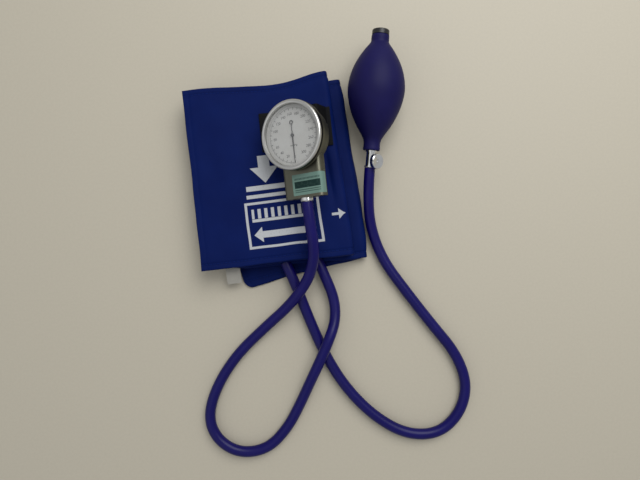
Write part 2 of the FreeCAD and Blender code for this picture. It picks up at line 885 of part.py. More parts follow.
def rocker():
    """The cross shaft, with an arm over the capsule and a finger at the sector's tail."""
    y, z = rocker_axis_y, rocker_axis_height
    left = finger_x - finger_width / 2 - shaft_left_end
    right = capsule_offset + rocker_arm_width / 2 + bracket_width + shaft_right_end
    shaft = rod(rocker_radius, vec(left, y, z), vec(right, y, z))
    finger = block(
        (finger_x - finger_width / 2, y - finger_width / 2, z),
        (finger_x + finger_width / 2, y + finger_width / 2, sector_high + finger_overlap),
    )
    tip = pad_top + arm_tip_gap
    thick = rocker_arm_thickness
    side = [
        (y + arm_root_back, z - arm_root_half), (y + arm_root_back, z + arm_root_half),
        (-arm_tip_reach, tip + thick), (-arm_tip_reach - arm_nose, tip + thick / 2), (-arm_tip_reach, tip),
        (y - arm_knee_forward, z - arm_knee_drop),
    ]
    corners = [vec(capsule_offset - rocker_arm_width / 2, b, c) for b, c in side]
    arm = Part.Face(Part.makePolygon(corners + corners[:1])).extrude(vec(rocker_arm_width, 0, 0))
    return fuse([shaft, finger, arm])


def rocker_brackets():
    """Two pierced blocks on the lower plate that carry the cross shaft."""
    y, z = rocker_axis_y, rocker_axis_height
    places = (
        finger_x + finger_width + bracket_finger_gap, capsule_offset + rocker_arm_width / 2 + bracket_arm_gap,
    )
    blocks = []
    for x in places:
        far = x + bracket_width
        front, back = y - bracket_half_depth, y + bracket_half_depth
        body = block((x, front, lower_plate_high), (far, back, z + bracket_crown))
        hole = rod(rocker_radius + pivot_clearance, vec(x - past, y, z), vec(far + past, y, z))
        blocks.append(body.cut(hole))
    return Part.Compound(blocks)


def hairspring():
    """A flat spiral strip of half turns with two centres, from the arbor out to its stud."""
    low = hairspring_low
    half = hairspring_strip / 2
    outer, inner = [], []
    for turn in range(2 * hairspring_turns):
        radius = hairspring_start + turn * hairspring_pitch / 2
        centre = 0.0 if turn % 2 == 0 else hairspring_pitch / 2
        side = 1 if turn % 2 == 0 else -1
        for edges, r in ((outer, radius + half), (inner, radius - half)):
            edges.append(Part.Arc(vec(centre + side * r, 0, low), vec(centre, side * r, low),
                                  vec(centre - side * r, 0, low)).toShape())
    caps = [
        Part.makeLine(vec(hairspring_start - half, 0, low), vec(hairspring_start + half, 0, low)),
        Part.makeLine(farthest(outer[-1]), farthest(inner[-1])),
    ]
    wire = Part.Wire(Part.sortEdges(outer + inner + caps)[0])
    return Part.Face(wire).extrude(vec(0, 0, hairspring_height))


def farthest(edge):
    """The end of a spiral's last half turn."""
    return max((v.Point for v in edge.Vertexes), key=lambda p: p.x)


def hairspring_collet():
    """The ring that holds the spiral's inner end on the arbor."""
    outer = hairspring_start - hairspring_strip / 2 - pivot_clearance
    return pipe(outer, arbor_radius, vec(0, 0, hairspring_low), vec(0, 0, hairspring_low + hairspring_height))


def hairspring_stud():
    """The post on the lower plate that holds the spiral's outer end."""
    x = hairspring_end_radius + hairspring_strip / 2 + stud_radius
    return post(stud_radius, x, 0, lower_plate_high, hairspring_low + hairspring_height)


def pointer():
    """The needle at rest on zero, straight down, with a ring on its tail."""
    low, high = pointer_low, pointer_high
    half, tip = pointer_width / 2, pointer_tip_width / 2
    needle = prism([(-half, 0), (-tip, -pointer_length), (tip, -pointer_length), (half, 0)], low, high)
    tail_end = pointer_tail - pointer_ring_radius + pointer_ring_overlap
    tail = block((-pointer_ring_bar / 2, 0, low), (pointer_ring_bar / 2, tail_end, high))
    ring = pipe(pointer_ring_radius, pointer_ring_radius - pointer_ring_bar, vec(0, pointer_tail, low),
                vec(0, pointer_tail, high))
    hub = post(pointer_hub_radius, 0, 0, low - pointer_hub_below, high + pointer_hub_above)
    bore = post(arbor_radius, 0, 0, low - past, arbor_end)
    return fuse([needle, tail, ring, hub]).cut(bore)


def barb_profile(base):
    """The (radius, height) outline of a ridged hose stub that runs up from a base height."""
    ridge = hose_bore / 2 - hose_fit
    step = (barb_length - barb_shank) / barb_ridges
    points = [(barb_bore_radius, base), (barb_core_radius, base)]
    for index in range(barb_ridges):
        height = base + barb_shank + index * step
        points += [(barb_core_radius, height), (ridge, height), (barb_core_radius, height + step)]
    return points + [(barb_bore_radius, base + barb_length)]


def barb(base):
    return turned(outline(*barb_profile(base)))


def hose_inlet():
    """The turned inlet under the neck: thread, collar and hose barb."""
    thread = pipe(inlet_thread_radius, inlet_pipe_radius, vec(0, 0, -inlet_thread_length), ORIGIN)
    edge = inlet_collar_chamfer
    collar = turned(outline(
        (barb_bore_radius, 0), (inlet_collar_radius, 0), (inlet_collar_radius, inlet_collar_length - edge),
        (inlet_collar_radius - edge, inlet_collar_length), (barb_bore_radius, inlet_collar_length),
    ))
    body = fuse([thread, collar, barb(inlet_collar_length)])
    body.Placement = FreeCAD.Placement(vec(0, -neck_reach, neck_middle), FreeCAD.Rotation(X_AXIS, 90))
    return body


clip_base_low = -clip_sheet
clip_tongue_high = -clip_sheet - clip_gap
clip_tongue_low = clip_tongue_high - clip_sheet
rivet_heights = tuple(clip_bend_at + clip_base_length / 2 + s * rivet_spacing / 2 for s in (-1, 1))


def back_clip():
    """A spring clip on the back of the case: base, round bend and tongue."""
    half = clip_width / 2
    base = block((-half, clip_bend_at, clip_base_low), (half, clip_bend_at + clip_base_length, 0))
    tongue_end = clip_bend_at + clip_tongue_length
    tongue = block((-half, clip_bend_at, clip_tongue_low), (half, tongue_end, clip_tongue_high))
    outer = clip_gap / 2 + clip_sheet
    middle = -clip_sheet - clip_gap / 2
    bend = pipe(outer, clip_gap / 2, vec(-half, clip_bend_at, middle), vec(half, clip_bend_at, middle))
    beyond = block((-half, clip_bend_at - 2 * outer, middle - outer), (half, clip_bend_at, middle + outer))
    body = fuse([base, tongue, bend.common(beyond)])
    return cut(body, *[post(rivet_radius, 0, y, clip_base_low, 0) for y in rivet_heights])


def clip_rivets():
    return Part.Compound([post(rivet_radius, 0, y, clip_base_low, case_wall) for y in rivet_heights])


def strap_line():
    """The middle line of the strap, in its own plane, from its left end to its right end."""
    flat = cuff_top + strap_thickness / 2
    depth = clip_sheet + clip_gap / 2
    rise = gauge_height - depth * lean_cosine
    start = (flat - rise) / lean_sine
    shoulder = strap_shoulder
    right_end = strap_length - strap_left_reach
    return [
        (-strap_left_reach, flat),
        (start * lean_cosine + depth * lean_sine, flat),
        (shoulder * lean_cosine + depth * lean_sine, rise + shoulder * lean_sine),
        (right_end - strap_foot_length, flat),
        (right_end, flat),
    ]


def ribbon(points, thickness):
    """The outline of a bent strip of even thickness about a line, with mitred corners."""
    sides = ([], [])
    for index, (x, z) in enumerate(points):
        steps = []
        for a, b in ((index - 1, index), (index, index + 1)):
            if 0 <= a and b < len(points):
                dx, dz = points[b][0] - points[a][0], points[b][1] - points[a][1]
                length = math.hypot(dx, dz)
                steps.append((-dz / length, dx / length))
        nx = sum(s[0] for s in steps) / len(steps)
        nz = sum(s[1] for s in steps) / len(steps)
        scale = thickness / 2 / (nx * nx + nz * nz)
        sides[0].append((x + nx * scale, z + nz * scale))
        sides[1].append((x - nx * scale, z - nz * scale))
    return sides[0] + sides[1][::-1]


def gauge_strap():
    low = strap_centre_across - strap_width / 2
    corners = [vec(x, low, z) for x, z in ribbon(strap_line(), strap_thickness)]
    return Part.Face(Part.makePolygon(corners + corners[:1])).extrude(vec(0, strap_width, 0))


def seal_label():
    """A blank sticker on the neck's front that goes round its right edge."""
    right = neck_width / 2
    low = -neck_reach + label_foot

    def edge_line(offset):
        centre = (right - neck_round, neck_front - neck_round)
        radius = neck_round + offset
        middle = (centre[0] + radius * math.sqrt(0.5), centre[1] + radius * math.sqrt(0.5))
        return (label_left, neck_front + offset), (centre[0], neck_front + offset), middle, (
            right + offset, centre[1]), (right + offset, centre[1] - label_wrap)

    def point(pair):
        return vec(pair[0], low, pair[1])

    inner = [point(p) for p in edge_line(0.0)]
    outer = [point(p) for p in edge_line(label_thickness)]
    edges = []
    for line in (inner, outer):
        edges += [
            Part.LineSegment(line[0], line[1]).toShape(), Part.Arc(line[1], line[2], line[3]).toShape(),
            Part.LineSegment(line[3], line[4]).toShape(),
        ]
    edges += [Part.LineSegment(inner[i], outer[i]).toShape() for i in (0, 4)]
    return Part.Face(Part.Wire(Part.sortEdges(edges)[0])).extrude(vec(0, label_height, 0))


# Bulb frame: its own Z runs along its axis from the end of its neck to its nub
bulb_axis = vec(
    math.sin(math.radians(bulb_turn)) * math.cos(math.radians(bulb_lift)),
    math.cos(math.radians(bulb_turn)) * math.cos(math.radians(bulb_lift)),
    math.sin(math.radians(bulb_lift)),
)
bulb_right = vec(math.cos(math.radians(bulb_turn)), -math.sin(math.radians(bulb_turn)), 0)


def bulb_curve(inset):
    """The bulb's swelling line from its neck to its nub, or its inside at a wall's inset."""
    points = [
        (bulb_neck_radius, bulb_neck_length), (bulb_flank_radius, bulb_flank_at),
        (bulb_radius, bulb_widest_at), (bulb_crown_radius, bulb_crown_at), (bulb_nub_radius, bulb_nub_at),
    ]
    curve = Part.BSplineCurve()
    curve.interpolate([vec(r - inset, 0, h) for r, h in points])
    return curve


def bulb_rest_height():
    """How high the widest point's middle lies when the tilted bulb touches the surface."""
    lift = math.radians(bulb_lift)
    reach = [
        p.x * math.cos(lift) - (p.z - bulb_widest_at) * math.sin(lift)
        for p in bulb_curve(0).discretize(bulb_rest_samples)
    ]
    return max(reach)


def beside_cuff(along):
    """How far right the cuff's two right-hand folds and the strap reach at a distance along the cuff."""
    reaches = [strap_frame.multVec(vec(strap_length - strap_left_reach, 0)).x]
    for fold, low, high in ((top_fold, upper_panel, top_panel), (low_fold, bottom_panel, lower_panel)):
        turn = math.radians(fold.turn)
        bulge = (high[1] - low[0]) / 2
        reaches.append(fold.middle.x - (along - fold.middle.y) * math.tan(turn) + bulge / math.cos(turn))
    return max(reaches)


bulb_centre = vec(
    beside_cuff(bulb_along_cuff) + bulb_cuff_gap + bulb_radius, bulb_along_cuff, bulb_rest_height()
)
bulb_frame = FreeCAD.Placement(
    bulb_centre - bulb_axis * bulb_widest_at,
    FreeCAD.Rotation(bulb_right, bulb_axis.cross(bulb_right), bulb_axis, "ZXY"),
)
nub_end = bulb_nub_at + bulb_nub_length


def bulb():
    curve = bulb_curve(0)
    outer_edges = outline_open(
        [(0, 0), (bulb_neck_radius, 0), (bulb_neck_radius, bulb_neck_length)], curve,
        [(bulb_nub_radius, bulb_nub_at), (bulb_nub_radius, nub_end), (0, nub_end)],
    )
    inner_curve = bulb_curve(bulb_wall)
    inner_edges = outline_open(
        [(0, bulb_neck_length), (bulb_neck_radius - bulb_wall, bulb_neck_length)], inner_curve,
        [(bulb_nub_radius - bulb_wall, bulb_nub_at), (0, bulb_nub_at)],
    )
    shell = turned(outer_edges).cut(turned(inner_edges))
    return cut(
        shell,
        post(bulb_bore_radius, 0, 0, -past, bulb_neck_length + bulb_bore_runout),
        post(bulb_bore_radius, 0, 0, bulb_nub_at - past, nub_end + past),
    )


def outline_open(first, curve, last):
    """Edges along a start, a curve and an end, closed down the axis."""
    edges = []
    for chain in (first, last):
        for a, b in zip(chain, chain[1:]):
            edges.append(Part.makeLine(vec(a[0], 0, a[1]), vec(b[0], 0, b[1])))
    edges.append(curve.toShape())
    edges.append(Part.makeLine(vec(last[-1][0], 0, last[-1][1]), vec(first[0][0], 0, first[0][1])))
    return Part.sortEdges(edges)[0]


# Release valve, in the bulb's frame
knob_direction = vec(math.sin(math.radians(knob_roll)), -math.cos(math.radians(knob_roll)), 0)
knob_centre = vec(0, 0, -knob_at)
knob_low = valve_boss_reach + knob_gap
knob_high = knob_low + knob_thickness
screw_travel = screw_pitch * screw_turns
chamber_high = valve_stem_length - check_seat_length
ball_seat_depth = math.sqrt(check_ball_radius**2 - check_seat_radius**2)
ball_height = chamber_high - ball_seat_depth - check_fit - check_ball_travel
chamber_low = ball_height - check_ball_radius - check_fit


def knob_side(distance):
    """A point along the release screw's axis."""
    return knob_centre + knob_direction * distance


def release_valve_body():
    body = fuse([
        post(bulb_bore_radius, 0, 0, 0, valve_stem_length),
        post(valve_body_radius, 0, 0, -valve_body_length, 0),
        post(valve_lip_radius, 0, 0, -valve_lip_length, 0),
        post(valve_lip_radius, 0, 0, -valve_body_length, -valve_body_length + valve_lip_length),
        rod(valve_boss_radius, knob_centre, knob_side(valve_boss_reach)),
    ])
    hose_barb = barb(0)
    hose_barb.Placement = FreeCAD.Placement(vec(0, 0, -valve_body_length), FreeCAD.Rotation(X_AXIS, 180))
    screw_hole_start = screw_tip_at - screw_seat_gap
    return cut(
        fuse([body, hose_barb]),
        post(check_chamber_radius, 0, 0, chamber_low, valve_stem_length + past),
        post(valve_bore_radius, 0, 0, -valve_body_length, chamber_low + past),
        post(barb_bore_radius, 0, 0, -valve_body_length - barb_length - past, -valve_body_length + past),
        rod(screw_radius + screw_fit, knob_side(screw_hole_start), knob_side(valve_boss_reach + past)),
    )


def check_seat():
    """The plug with the hole that the ball closes."""
    low, high = vec(0, 0, chamber_high), vec(0, 0, valve_stem_length)
    return pipe(check_chamber_radius, check_seat_radius, low, high)


def check_ball():
    return Part.makeSphere(check_ball_radius, vec(0, 0, ball_height))


def release_screw():
    """The screw's stem, with a groove for its ring and an end that goes into the knob."""
    groove_end = ring_groove_at + ring_groove_width
    return fuse([
        rod(screw_radius, knob_side(screw_tip_at), knob_side(ring_groove_at)),
        rod(ring_groove_radius, knob_side(ring_groove_at), knob_side(groove_end)),
        rod(screw_radius, knob_side(groove_end), knob_side(knob_low)),
        rod(screw_socket_radius, knob_side(knob_low), knob_side(knob_low + screw_socket)),
    ])


def screw_ring():
    """The rubber ring in the screw's groove."""
    outer = screw_radius + screw_fit - ring_fit
    inner = ring_groove_radius + ring_fit
    start, end = ring_groove_at + ring_fit, ring_groove_at + ring_groove_width - ring_fit
    return pipe(outer, inner, knob_side(start), knob_side(end))


def release_knob():
    """The knurled thumb wheel, turned on its own Z axis and then set on the screw."""
    edge = knob_chamfer
    disc = turned(outline(
        (0, knob_low), (knob_radius - edge, knob_low), (knob_radius, knob_low + edge),
        (knob_radius, knob_high - edge), (knob_radius - edge, knob_high),
        (knob_nub_radius + knob_dish_width, knob_high - knob_dish_depth),
        (knob_nub_radius, knob_high + knob_nub_height), (0, knob_high + knob_nub_height),
    ))
    notches = []
    for index in range(knob_notches):
        x, y = polar(knob_radius + knob_notch_radius * knob_notch_share, index * 360.0 / knob_notches)
        notches.append(post(knob_notch_radius, x, y, knob_low - past, knob_high + past))
    socket = post(screw_socket_radius + knob_socket_fit, 0, 0, knob_low - past, knob_low + screw_socket)
    disc = cut(disc, socket, *notches)
    disc.Placement = FreeCAD.Placement(knob_centre, FreeCAD.Rotation(Z_AXIS, knob_direction))
    return disc


# Intake valve, in the bulb's frame
intake_end = nub_end + intake_head_length
intake_chamber_high = nub_end + intake_head_length / 2
intake_chamber_low = intake_chamber_high - intake_disc_thickness - intake_disc_travel - 2 * check_fit
intake_stem_low = nub_end - intake_stem_length
intake_disc_high = intake_chamber_high - check_fit - intake_disc_travel


def intake_body():
    head_mid = corner_arc(intake_head_radius, intake_end, intake_head_round, 1, 1)
    body = turned(outline(
        (0, intake_stem_low), (bulb_bore_radius, intake_stem_low), (bulb_bore_radius, nub_end),
        (intake_head_radius, nub_end), (intake_head_radius, intake_end - intake_head_round),
        (*head_mid, intake_head_radius - intake_head_round, intake_end), (0, intake_end),
    ))
    return cut(
        body,
        post(intake_hole_radius, 0, 0, intake_chamber_low, intake_end + past),
        post(intake_chamber_radius, 0, 0, intake_stem_low - past, intake_chamber_high),
        post(intake_filter_radius, 0, 0, intake_end - intake_filter_thickness, intake_end + past),
    )


def intake_filter():
    return post(intake_filter_radius, 0, 0, intake_end - intake_filter_thickness, intake_end)


def intake_disc():
    return post(intake_disc_radius, 0, 0, intake_disc_high - intake_disc_thickness, intake_disc_high)


def intake_retainer():
    """The pierced plug that keeps the disc in its chamber."""
    low, high = vec(0, 0, intake_chamber_low - intake_retainer_length), vec(0, 0, intake_chamber_low)
    return pipe(intake_chamber_radius, intake_retainer_hole, low, high)


# Hoses
def bent_tube(points, radius):
    """A round tube along straight runs and the largest tangent arcs. Returns it, its length and its radii."""
    runs = [(b - a).Length for a, b in zip(points, points[1:])]
    pieces, radii = [], []
    length = 0.0
    here = points[0]
    for index in range(1, len(points) - 1):
        before = (points[index] - points[index - 1]).normalize()
        after = (points[index + 1] - points[index]).normalize()
        half_turn = before.getAngle(after) / 2
        reach = bend_share * min(runs[index - 1], runs[index])
        bend = reach / math.tan(half_turn)
        radii.append(bend)
        start = points[index] - before * reach
        end = points[index] + after * reach
        pieces.append(rod(radius, here, start))
        axis = before.cross(after).normalize()
        centre = start + axis.cross(before).normalize() * bend
        circle = Part.Face(Part.Wire(Part.makeCircle(radius, start, before)))
        pieces.append(circle.revolve(centre, axis, math.degrees(2 * half_turn)))
        length += (start - here).Length + bend * 2 * half_turn
        here = end
    pieces.append(rod(radius, here, points[-1]))
    length += (points[-1] - here).Length
    return fuse(pieces), length, radii


valve_hose_end = bulb_frame.multVec(vec(0, 0, -valve_body_length - hose_end_gap))
valve_hose_run = bulb_frame.multVec(vec(0, 0, -valve_body_length - hose_end_gap - valve_run))
inlet_hose_end = gauge_frame.multVec(vec(0, inlet_end - hose_end_gap, neck_middle))
inlet_hose_run = gauge_frame.multVec(vec(0, inlet_end - hose_end_gap - inlet_run, neck_middle))


def spigot_points(spigot):
    return [spigot.hose_start, spigot.hose_start + spigot.direction * spigot_run]


bulb_hose_points = (
    spigot_points(bulb_spigot) + [vec(*p) for p in bulb_hose_route] + [valve_hose_run, valve_hose_end]
)
gauge_hose_points = (
    spigot_points(gauge_spigot) + [vec(*p) for p in gauge_hose_route] + [inlet_hose_run, inlet_hose_end]
)


def hose(points, name):
    """A hose with its bore, and a printed comparison of its volume with its section times its length."""
    outside, length, radii = bent_tube(points, hose_diameter / 2)
    tube = outside.cut(bent_tube(points, hose_bore / 2)[0])
    section = math.pi * (hose_diameter**2 - hose_bore**2) / 4
    print(name, "length", round(length, 1), "volume ratio", round(tube.Volume / (section * length), 4))
    print(name, "runs", [round((b - a).Length, 1) for a, b in zip(points, points[1:])])
    print(name, "radii", [round(r, 1) for r in radii])
    return tube


def export(name, shape, frame=None):
    """Write one piece, set in its frame."""
    solids = shape.Solids
    if not solids or not shape.isValid():
        raise ValueError(name + " is not a sound solid")
    if frame:
        solids = [s.copy() for s in solids]
        for solid in solids:
            solid.Placement = frame.multiply(solid.Placement)
    piece = solids[0] if len(solids) == 1 else Part.Compound(solids)
    piece.exportStep(os.path.join("parts", name + ".step"))


cuff_pieces = (cuff_cover, bladder, hook_strip, loop_strip, care_tag)
gauge_pieces = (
    gauge_case, bezel_ring, lens, lens_gasket, dial_ring, dial_plate, pointer, pinion_arbor,
    sector_gear, sector_arbor, rocker, rocker_brackets, hairspring, hairspring_collet, hairspring_stud,
    lower_plate, upper_plate, plate_pillars, plate_screws, pillar_screws, capsule, capsule_stem, capsule_pad,
    inlet_pipe, hose_inlet, back_clip, clip_rivets, seal_label,
)
bulb_pieces = (
    bulb, release_valve_body, check_seat, check_ball, release_screw, screw_ring, release_knob,
    intake_body, intake_filter, intake_disc, intake_retainer,
)


def build():
    os.makedirs("parts", exist_ok=True)
    for pieces, frame in ((cuff_pieces, None), (gauge_pieces, gauge_frame), (bulb_pieces, bulb_frame)):
        for piece in pieces:
            export(piece.__name__, piece(), frame)
    export("gauge_strap", gauge_strap(), strap_frame)
    export("bulb_hose", hose(bulb_hose_points, "bulb_hose"))
    export("gauge_hose", hose(gauge_hose_points, "gauge_hose"))


build()
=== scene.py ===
"""Looks of an aneroid sphygmomanometer: folded arm cuff, dial gauge, squeeze bulb, valve and hoses.

The solids are loaded as a fixed frame. The cloth, the webbing, the bulb, the hoses and the dial's
scale are modelled here, and every other solid gets a finish of its own. Sizes are in millimetres.
"""

import json
import logging
import math
from dataclasses import dataclass
from enum import Enum
from functools import partial
from typing import Any, Callable, Iterator, Sequence

import bpy
from mathutils import Color, Matrix, Vector, noise

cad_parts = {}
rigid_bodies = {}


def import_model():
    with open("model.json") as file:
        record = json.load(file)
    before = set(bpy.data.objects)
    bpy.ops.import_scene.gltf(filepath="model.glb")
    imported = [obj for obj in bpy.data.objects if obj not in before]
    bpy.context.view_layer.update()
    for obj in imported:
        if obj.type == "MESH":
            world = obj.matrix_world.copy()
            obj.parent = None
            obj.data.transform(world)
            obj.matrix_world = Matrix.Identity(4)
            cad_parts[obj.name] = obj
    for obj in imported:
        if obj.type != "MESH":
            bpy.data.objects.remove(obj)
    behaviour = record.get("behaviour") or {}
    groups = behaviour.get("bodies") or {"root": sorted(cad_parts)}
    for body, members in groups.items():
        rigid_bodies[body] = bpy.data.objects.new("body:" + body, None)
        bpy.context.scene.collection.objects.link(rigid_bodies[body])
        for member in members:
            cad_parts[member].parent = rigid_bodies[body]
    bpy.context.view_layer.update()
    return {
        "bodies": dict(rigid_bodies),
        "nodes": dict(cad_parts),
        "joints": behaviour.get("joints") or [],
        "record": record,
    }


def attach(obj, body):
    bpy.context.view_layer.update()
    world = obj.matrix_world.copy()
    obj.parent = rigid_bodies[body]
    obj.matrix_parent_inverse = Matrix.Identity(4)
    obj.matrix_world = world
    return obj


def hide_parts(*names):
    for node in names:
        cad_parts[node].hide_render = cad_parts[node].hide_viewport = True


LOG = logging.getLogger("sphygmomanometer")
MM = 0.001
MAIN_BODY = "cuff_gauge_and_bulb"
SCREEN_WHITE = 255
NOISE_MIDDLE = 0.5
SOFT_NOISE = 2.0
FINE_NOISE = 3.0
SHARP_NOISE = 4.0
Colour = tuple[float, float, float]
Point = tuple[float, float, float]
Place = tuple[float, float]
Faces = tuple[Vector, Vector]

GAUGE_PLACE: Point = (26.4, 23.8, 32.82)
GAUGE_TURN = 6.0
GAUGE_LEAN = 30.0
GAUGE_FRAME = (
    Matrix.Translation(Vector(GAUGE_PLACE) * MM) @ Matrix.Rotation(math.radians(GAUGE_TURN), 4, "Z")
    @ Matrix.Rotation(math.radians(-GAUGE_LEAN), 4, "Y")
)
CUFF_WIDTH = 142.0


class Reading(Enum):
    """What a pattern's coordinates follow."""

    PLACE = "Object"
    SURFACE = "UV"


class Way(Enum):
    """The way a printed arrowhead points, as the step back from its tip, along and across the cloth."""

    LEFT = (1, 0)
    RIGHT = (-1, 0)
    DOWN = (0, 1)


def shade(red: int, green: int, blue: int) -> Colour:
    """Turn a screen colour of 0 to 255 into a linear one."""
    screen = Color([part / SCREEN_WHITE for part in (red, green, blue)])
    return tuple(screen.from_srgb_to_scene_linear())


def scaled(colour: Colour, share: float) -> Colour:
    """Give a darker or paler colour."""
    return tuple(part * share for part in colour)


class Flow:
    """A shader value that takes part in arithmetic."""

    def __init__(self, graph: "Graph", socket: bpy.types.NodeSocket) -> None:
        """Keep the graph and the socket that the value comes out of."""
        self.graph = graph
        self.socket = socket

    def math(self, operation: str, *others: Any) -> "Flow":
        """Add a Math node.

        Args:
            operation: The Math node's operation.
            others: The second and third values, as numbers or flows.

        Returns:
            The node's result.
        """
        inputs = dict(enumerate((self, *others)))
        return self.graph.node("ShaderNodeMath", {"operation": operation}, inputs)

    def __add__(self, other: Any) -> "Flow":
        """Add."""
        return self.math("ADD", other)

    __radd__ = __add__

    def __mul__(self, other: Any) -> "Flow":
        """Multiply."""
        return self.math("MULTIPLY", other)

    __rmul__ = __mul__

    def __sub__(self, other: Any) -> "Flow":
        """Subtract."""
        return self.math("SUBTRACT", other)

    def __rsub__(self, other: float) -> "Flow":
        """Subtract this from a number."""
        return (self * -1.0) + other

    def __truediv__(self, other: float) -> "Flow":
        """Divide by a number."""
        return self * (1.0 / other)

    def size(self) -> "Flow":
        """Give the value without its sign."""
        return self.math("ABSOLUTE")

    def wave(self) -> "Flow":
        """Give the sine."""
        return self.math("SINE")

    def lifted(self) -> "Flow":
        """Turn a value of -1 to 1 into one of 0 to 1."""
        return self * 0.5 + 0.5

    def part(self) -> "Flow":
        """Give the part after the point."""
        return self.math("FRACT")

    def above(self, edge: float, soft: float) -> "Flow":
        """Give a mask that rises from 0 to 1 about an edge."""
        inputs = {"Value": self, "From Min": edge - soft, "From Max": edge + soft}
        return self.graph.node("ShaderNodeMapRange", {"interpolation_type": "SMOOTHSTEP"}, inputs)

    def between(self, low: float, high: float, soft: float) -> "Flow":
        """Give a mask of a band."""
        middle, half = (low + high) / 2, (high - low) / 2
        return 1 - (self - middle).size().above(half, soft)

    def most(self, other: "Flow") -> "Flow":
        """Give the larger of two values."""
        return self.math("MAXIMUM", other)


class Graph:
    """The nodes of one material."""

    MIX_FACTOR = 0
    MIX_LOW = 6
    MIX_HIGH = 7
    MIX_RESULT = 2

    def __init__(self, name: str) -> None:
        """Start a material with one principled shader.

        Args:
            name: The material's name.
        """
        self.material = bpy.data.materials.new(name)
        self.material.use_nodes = True
        self.tree = self.material.node_tree
        self.shader = self.tree.nodes["Principled BSDF"]

    def node(self, kind: str, settings: dict | None = None, inputs: dict | None = None, out: Any = 0) -> Flow:
        """Add any node.

        Args:
            kind: The node's type.
            settings: Its own settings, set first.
            inputs: The values or flows of its sockets, by name or number.
            out: The name or number of the socket that is wanted.

        Returns:
            The wanted output.
        """
        node = self.tree.nodes.new(kind)
        for key, value in (settings or {}).items():
            setattr(node, key, value)
        for key, value in (inputs or {}).items():
            self.feed(node.inputs[key], value)
        return Flow(self, node.outputs[out])

    def feed(self, socket: bpy.types.NodeSocket, value: Any) -> None:
        """Link a flow to a socket, or set the socket's own value.

        Args:
            socket: The socket.
            value: A flow, a number, a vector or a colour without its alpha.
        """
        if isinstance(value, Flow):
            self.tree.links.new(value.socket, socket)
        elif socket.type == "RGBA":
            socket.default_value = (*value, 1.0)
        else:
            socket.default_value = value

    def read(self, reading: Reading, matrix: Matrix | None = None) -> Flow:
        """Give coordinates in millimetres.

        Args:
            reading: What they follow.
            matrix: A frame of the piece that they are read in, in metres.

        Returns:
            The coordinates.
        """
        place = self.node("ShaderNodeTexCoord", out=reading.value)
        inverse = (matrix or Matrix.Identity(4)).inverted()
        inputs = {
            "Vector": place,
            "Location": inverse.translation / MM,
            "Rotation": inverse.to_euler("XYZ"),
            "Scale": (1 / MM, 1 / MM, 1 / MM),
        }
        return self.node("ShaderNodeMapping", {"vector_type": "POINT"}, inputs)

    def split(self, vector: Flow) -> tuple[Flow, Flow, Flow]:
        """Give the three parts of a vector.

        Args:
            vector: The vector.

        Returns:
            Its X, Y and Z.
        """
        node = self.tree.nodes.new("ShaderNodeSeparateXYZ")
        self.feed(node.inputs[0], vector)
        return tuple(Flow(self, socket) for socket in node.outputs)

    def speckle(self, place: Flow, scale: float, detail: float) -> Flow:
        """Give noise of a scale per millimetre."""
        return self.node("ShaderNodeTexNoise", None, {"Vector": place, "Scale": scale, "Detail": detail})

    def mix(self, mask: Any, low: Any, high: Any) -> Flow:
        """Mix two colours by a mask."""
        inputs = {self.MIX_FACTOR: mask, self.MIX_LOW: low, self.MIX_HIGH: high}
        return self.node("ShaderNodeMix", {"data_type": "RGBA"}, inputs, out=self.MIX_RESULT)

    def bump(self, height: Flow, relief: float) -> Flow:
        """Turn a height of 0 to 1 into a bump of a relief in millimetres."""
        inputs = {"Height": height, "Distance": relief * MM, "Strength": 1.0}
        return self.node("ShaderNodeBump", None, inputs)

    def surface(self, **sockets: Any) -> bpy.types.Material:
        """Set the shader's sockets.

        Args:
            sockets: Their values or flows, by name with underscores for spaces.

        Returns:
            The finished material.
        """
        for key, value in sockets.items():
            self.feed(self.shader.inputs[key.replace("_", " ")], value)
        return self.material


@dataclass(frozen=True)
class Finish:
    """A surface finish, with the spread of its roughness and the height of its relief."""

    name: str
    colour: Colour
    roughness: float = 0.5
    gloss: float = 0.5
    spread: float = 0.1
    relief: float = 0.01

    def paint(self, graph: Graph) -> bpy.types.Material:
        """Make the finish's material.

        Args:
            graph: The material's nodes.

        Returns:
            The material.
        """
        raise NotImplementedError

    def rough(self, grain: Flow) -> Flow:
        """Give a roughness that follows a grain."""
        return grain * self.spread + (self.roughness - self.spread / 2)

    def dress(self, *objects: bpy.types.Object) -> None:
        """Put the finish on objects.

        Args:
            objects: The objects.
        """
        name = "finish_" + self.name
        material = bpy.data.materials.get(name) or self.paint(Graph(name))
        for obj in objects:
            obj.data.materials.clear()
            obj.data.materials.append(material)


@dataclass(frozen=True)
class Rubber(Finish):
    """Moulded rubber with a fine skin and a slight bloom."""

    spread: float = 0.16
    relief: float = 0.03
    bloom: Colour = (0.1, 0.1, 0.16)
    bloom_scale: float = 0.06
    bloom_edge: float = 0.55
    bloom_blur: float = 0.2
    bloom_share: float = 0.3
    skin_scale: float = 2.2

    def paint(self, graph: Graph) -> bpy.types.Material:
        """Make satin rubber that is a little paler in soft patches.

        Args:
            graph: The material's nodes.

        Returns:
            The material.
        """
        place = graph.read(Reading.PLACE)
        patch = graph.speckle(place, self.bloom_scale, FINE_NOISE)
        skin = graph.speckle(place, self.skin_scale, FINE_NOISE)
        bloom = patch.above(self.bloom_edge, self.bloom_blur) * self.bloom_share
        return graph.surface(
            Base_Color=graph.mix(bloom, self.colour, self.bloom),
            Roughness=self.rough(patch),
            Normal=graph.bump(skin, self.relief),
            Specular_IOR_Level=self.gloss,
        )


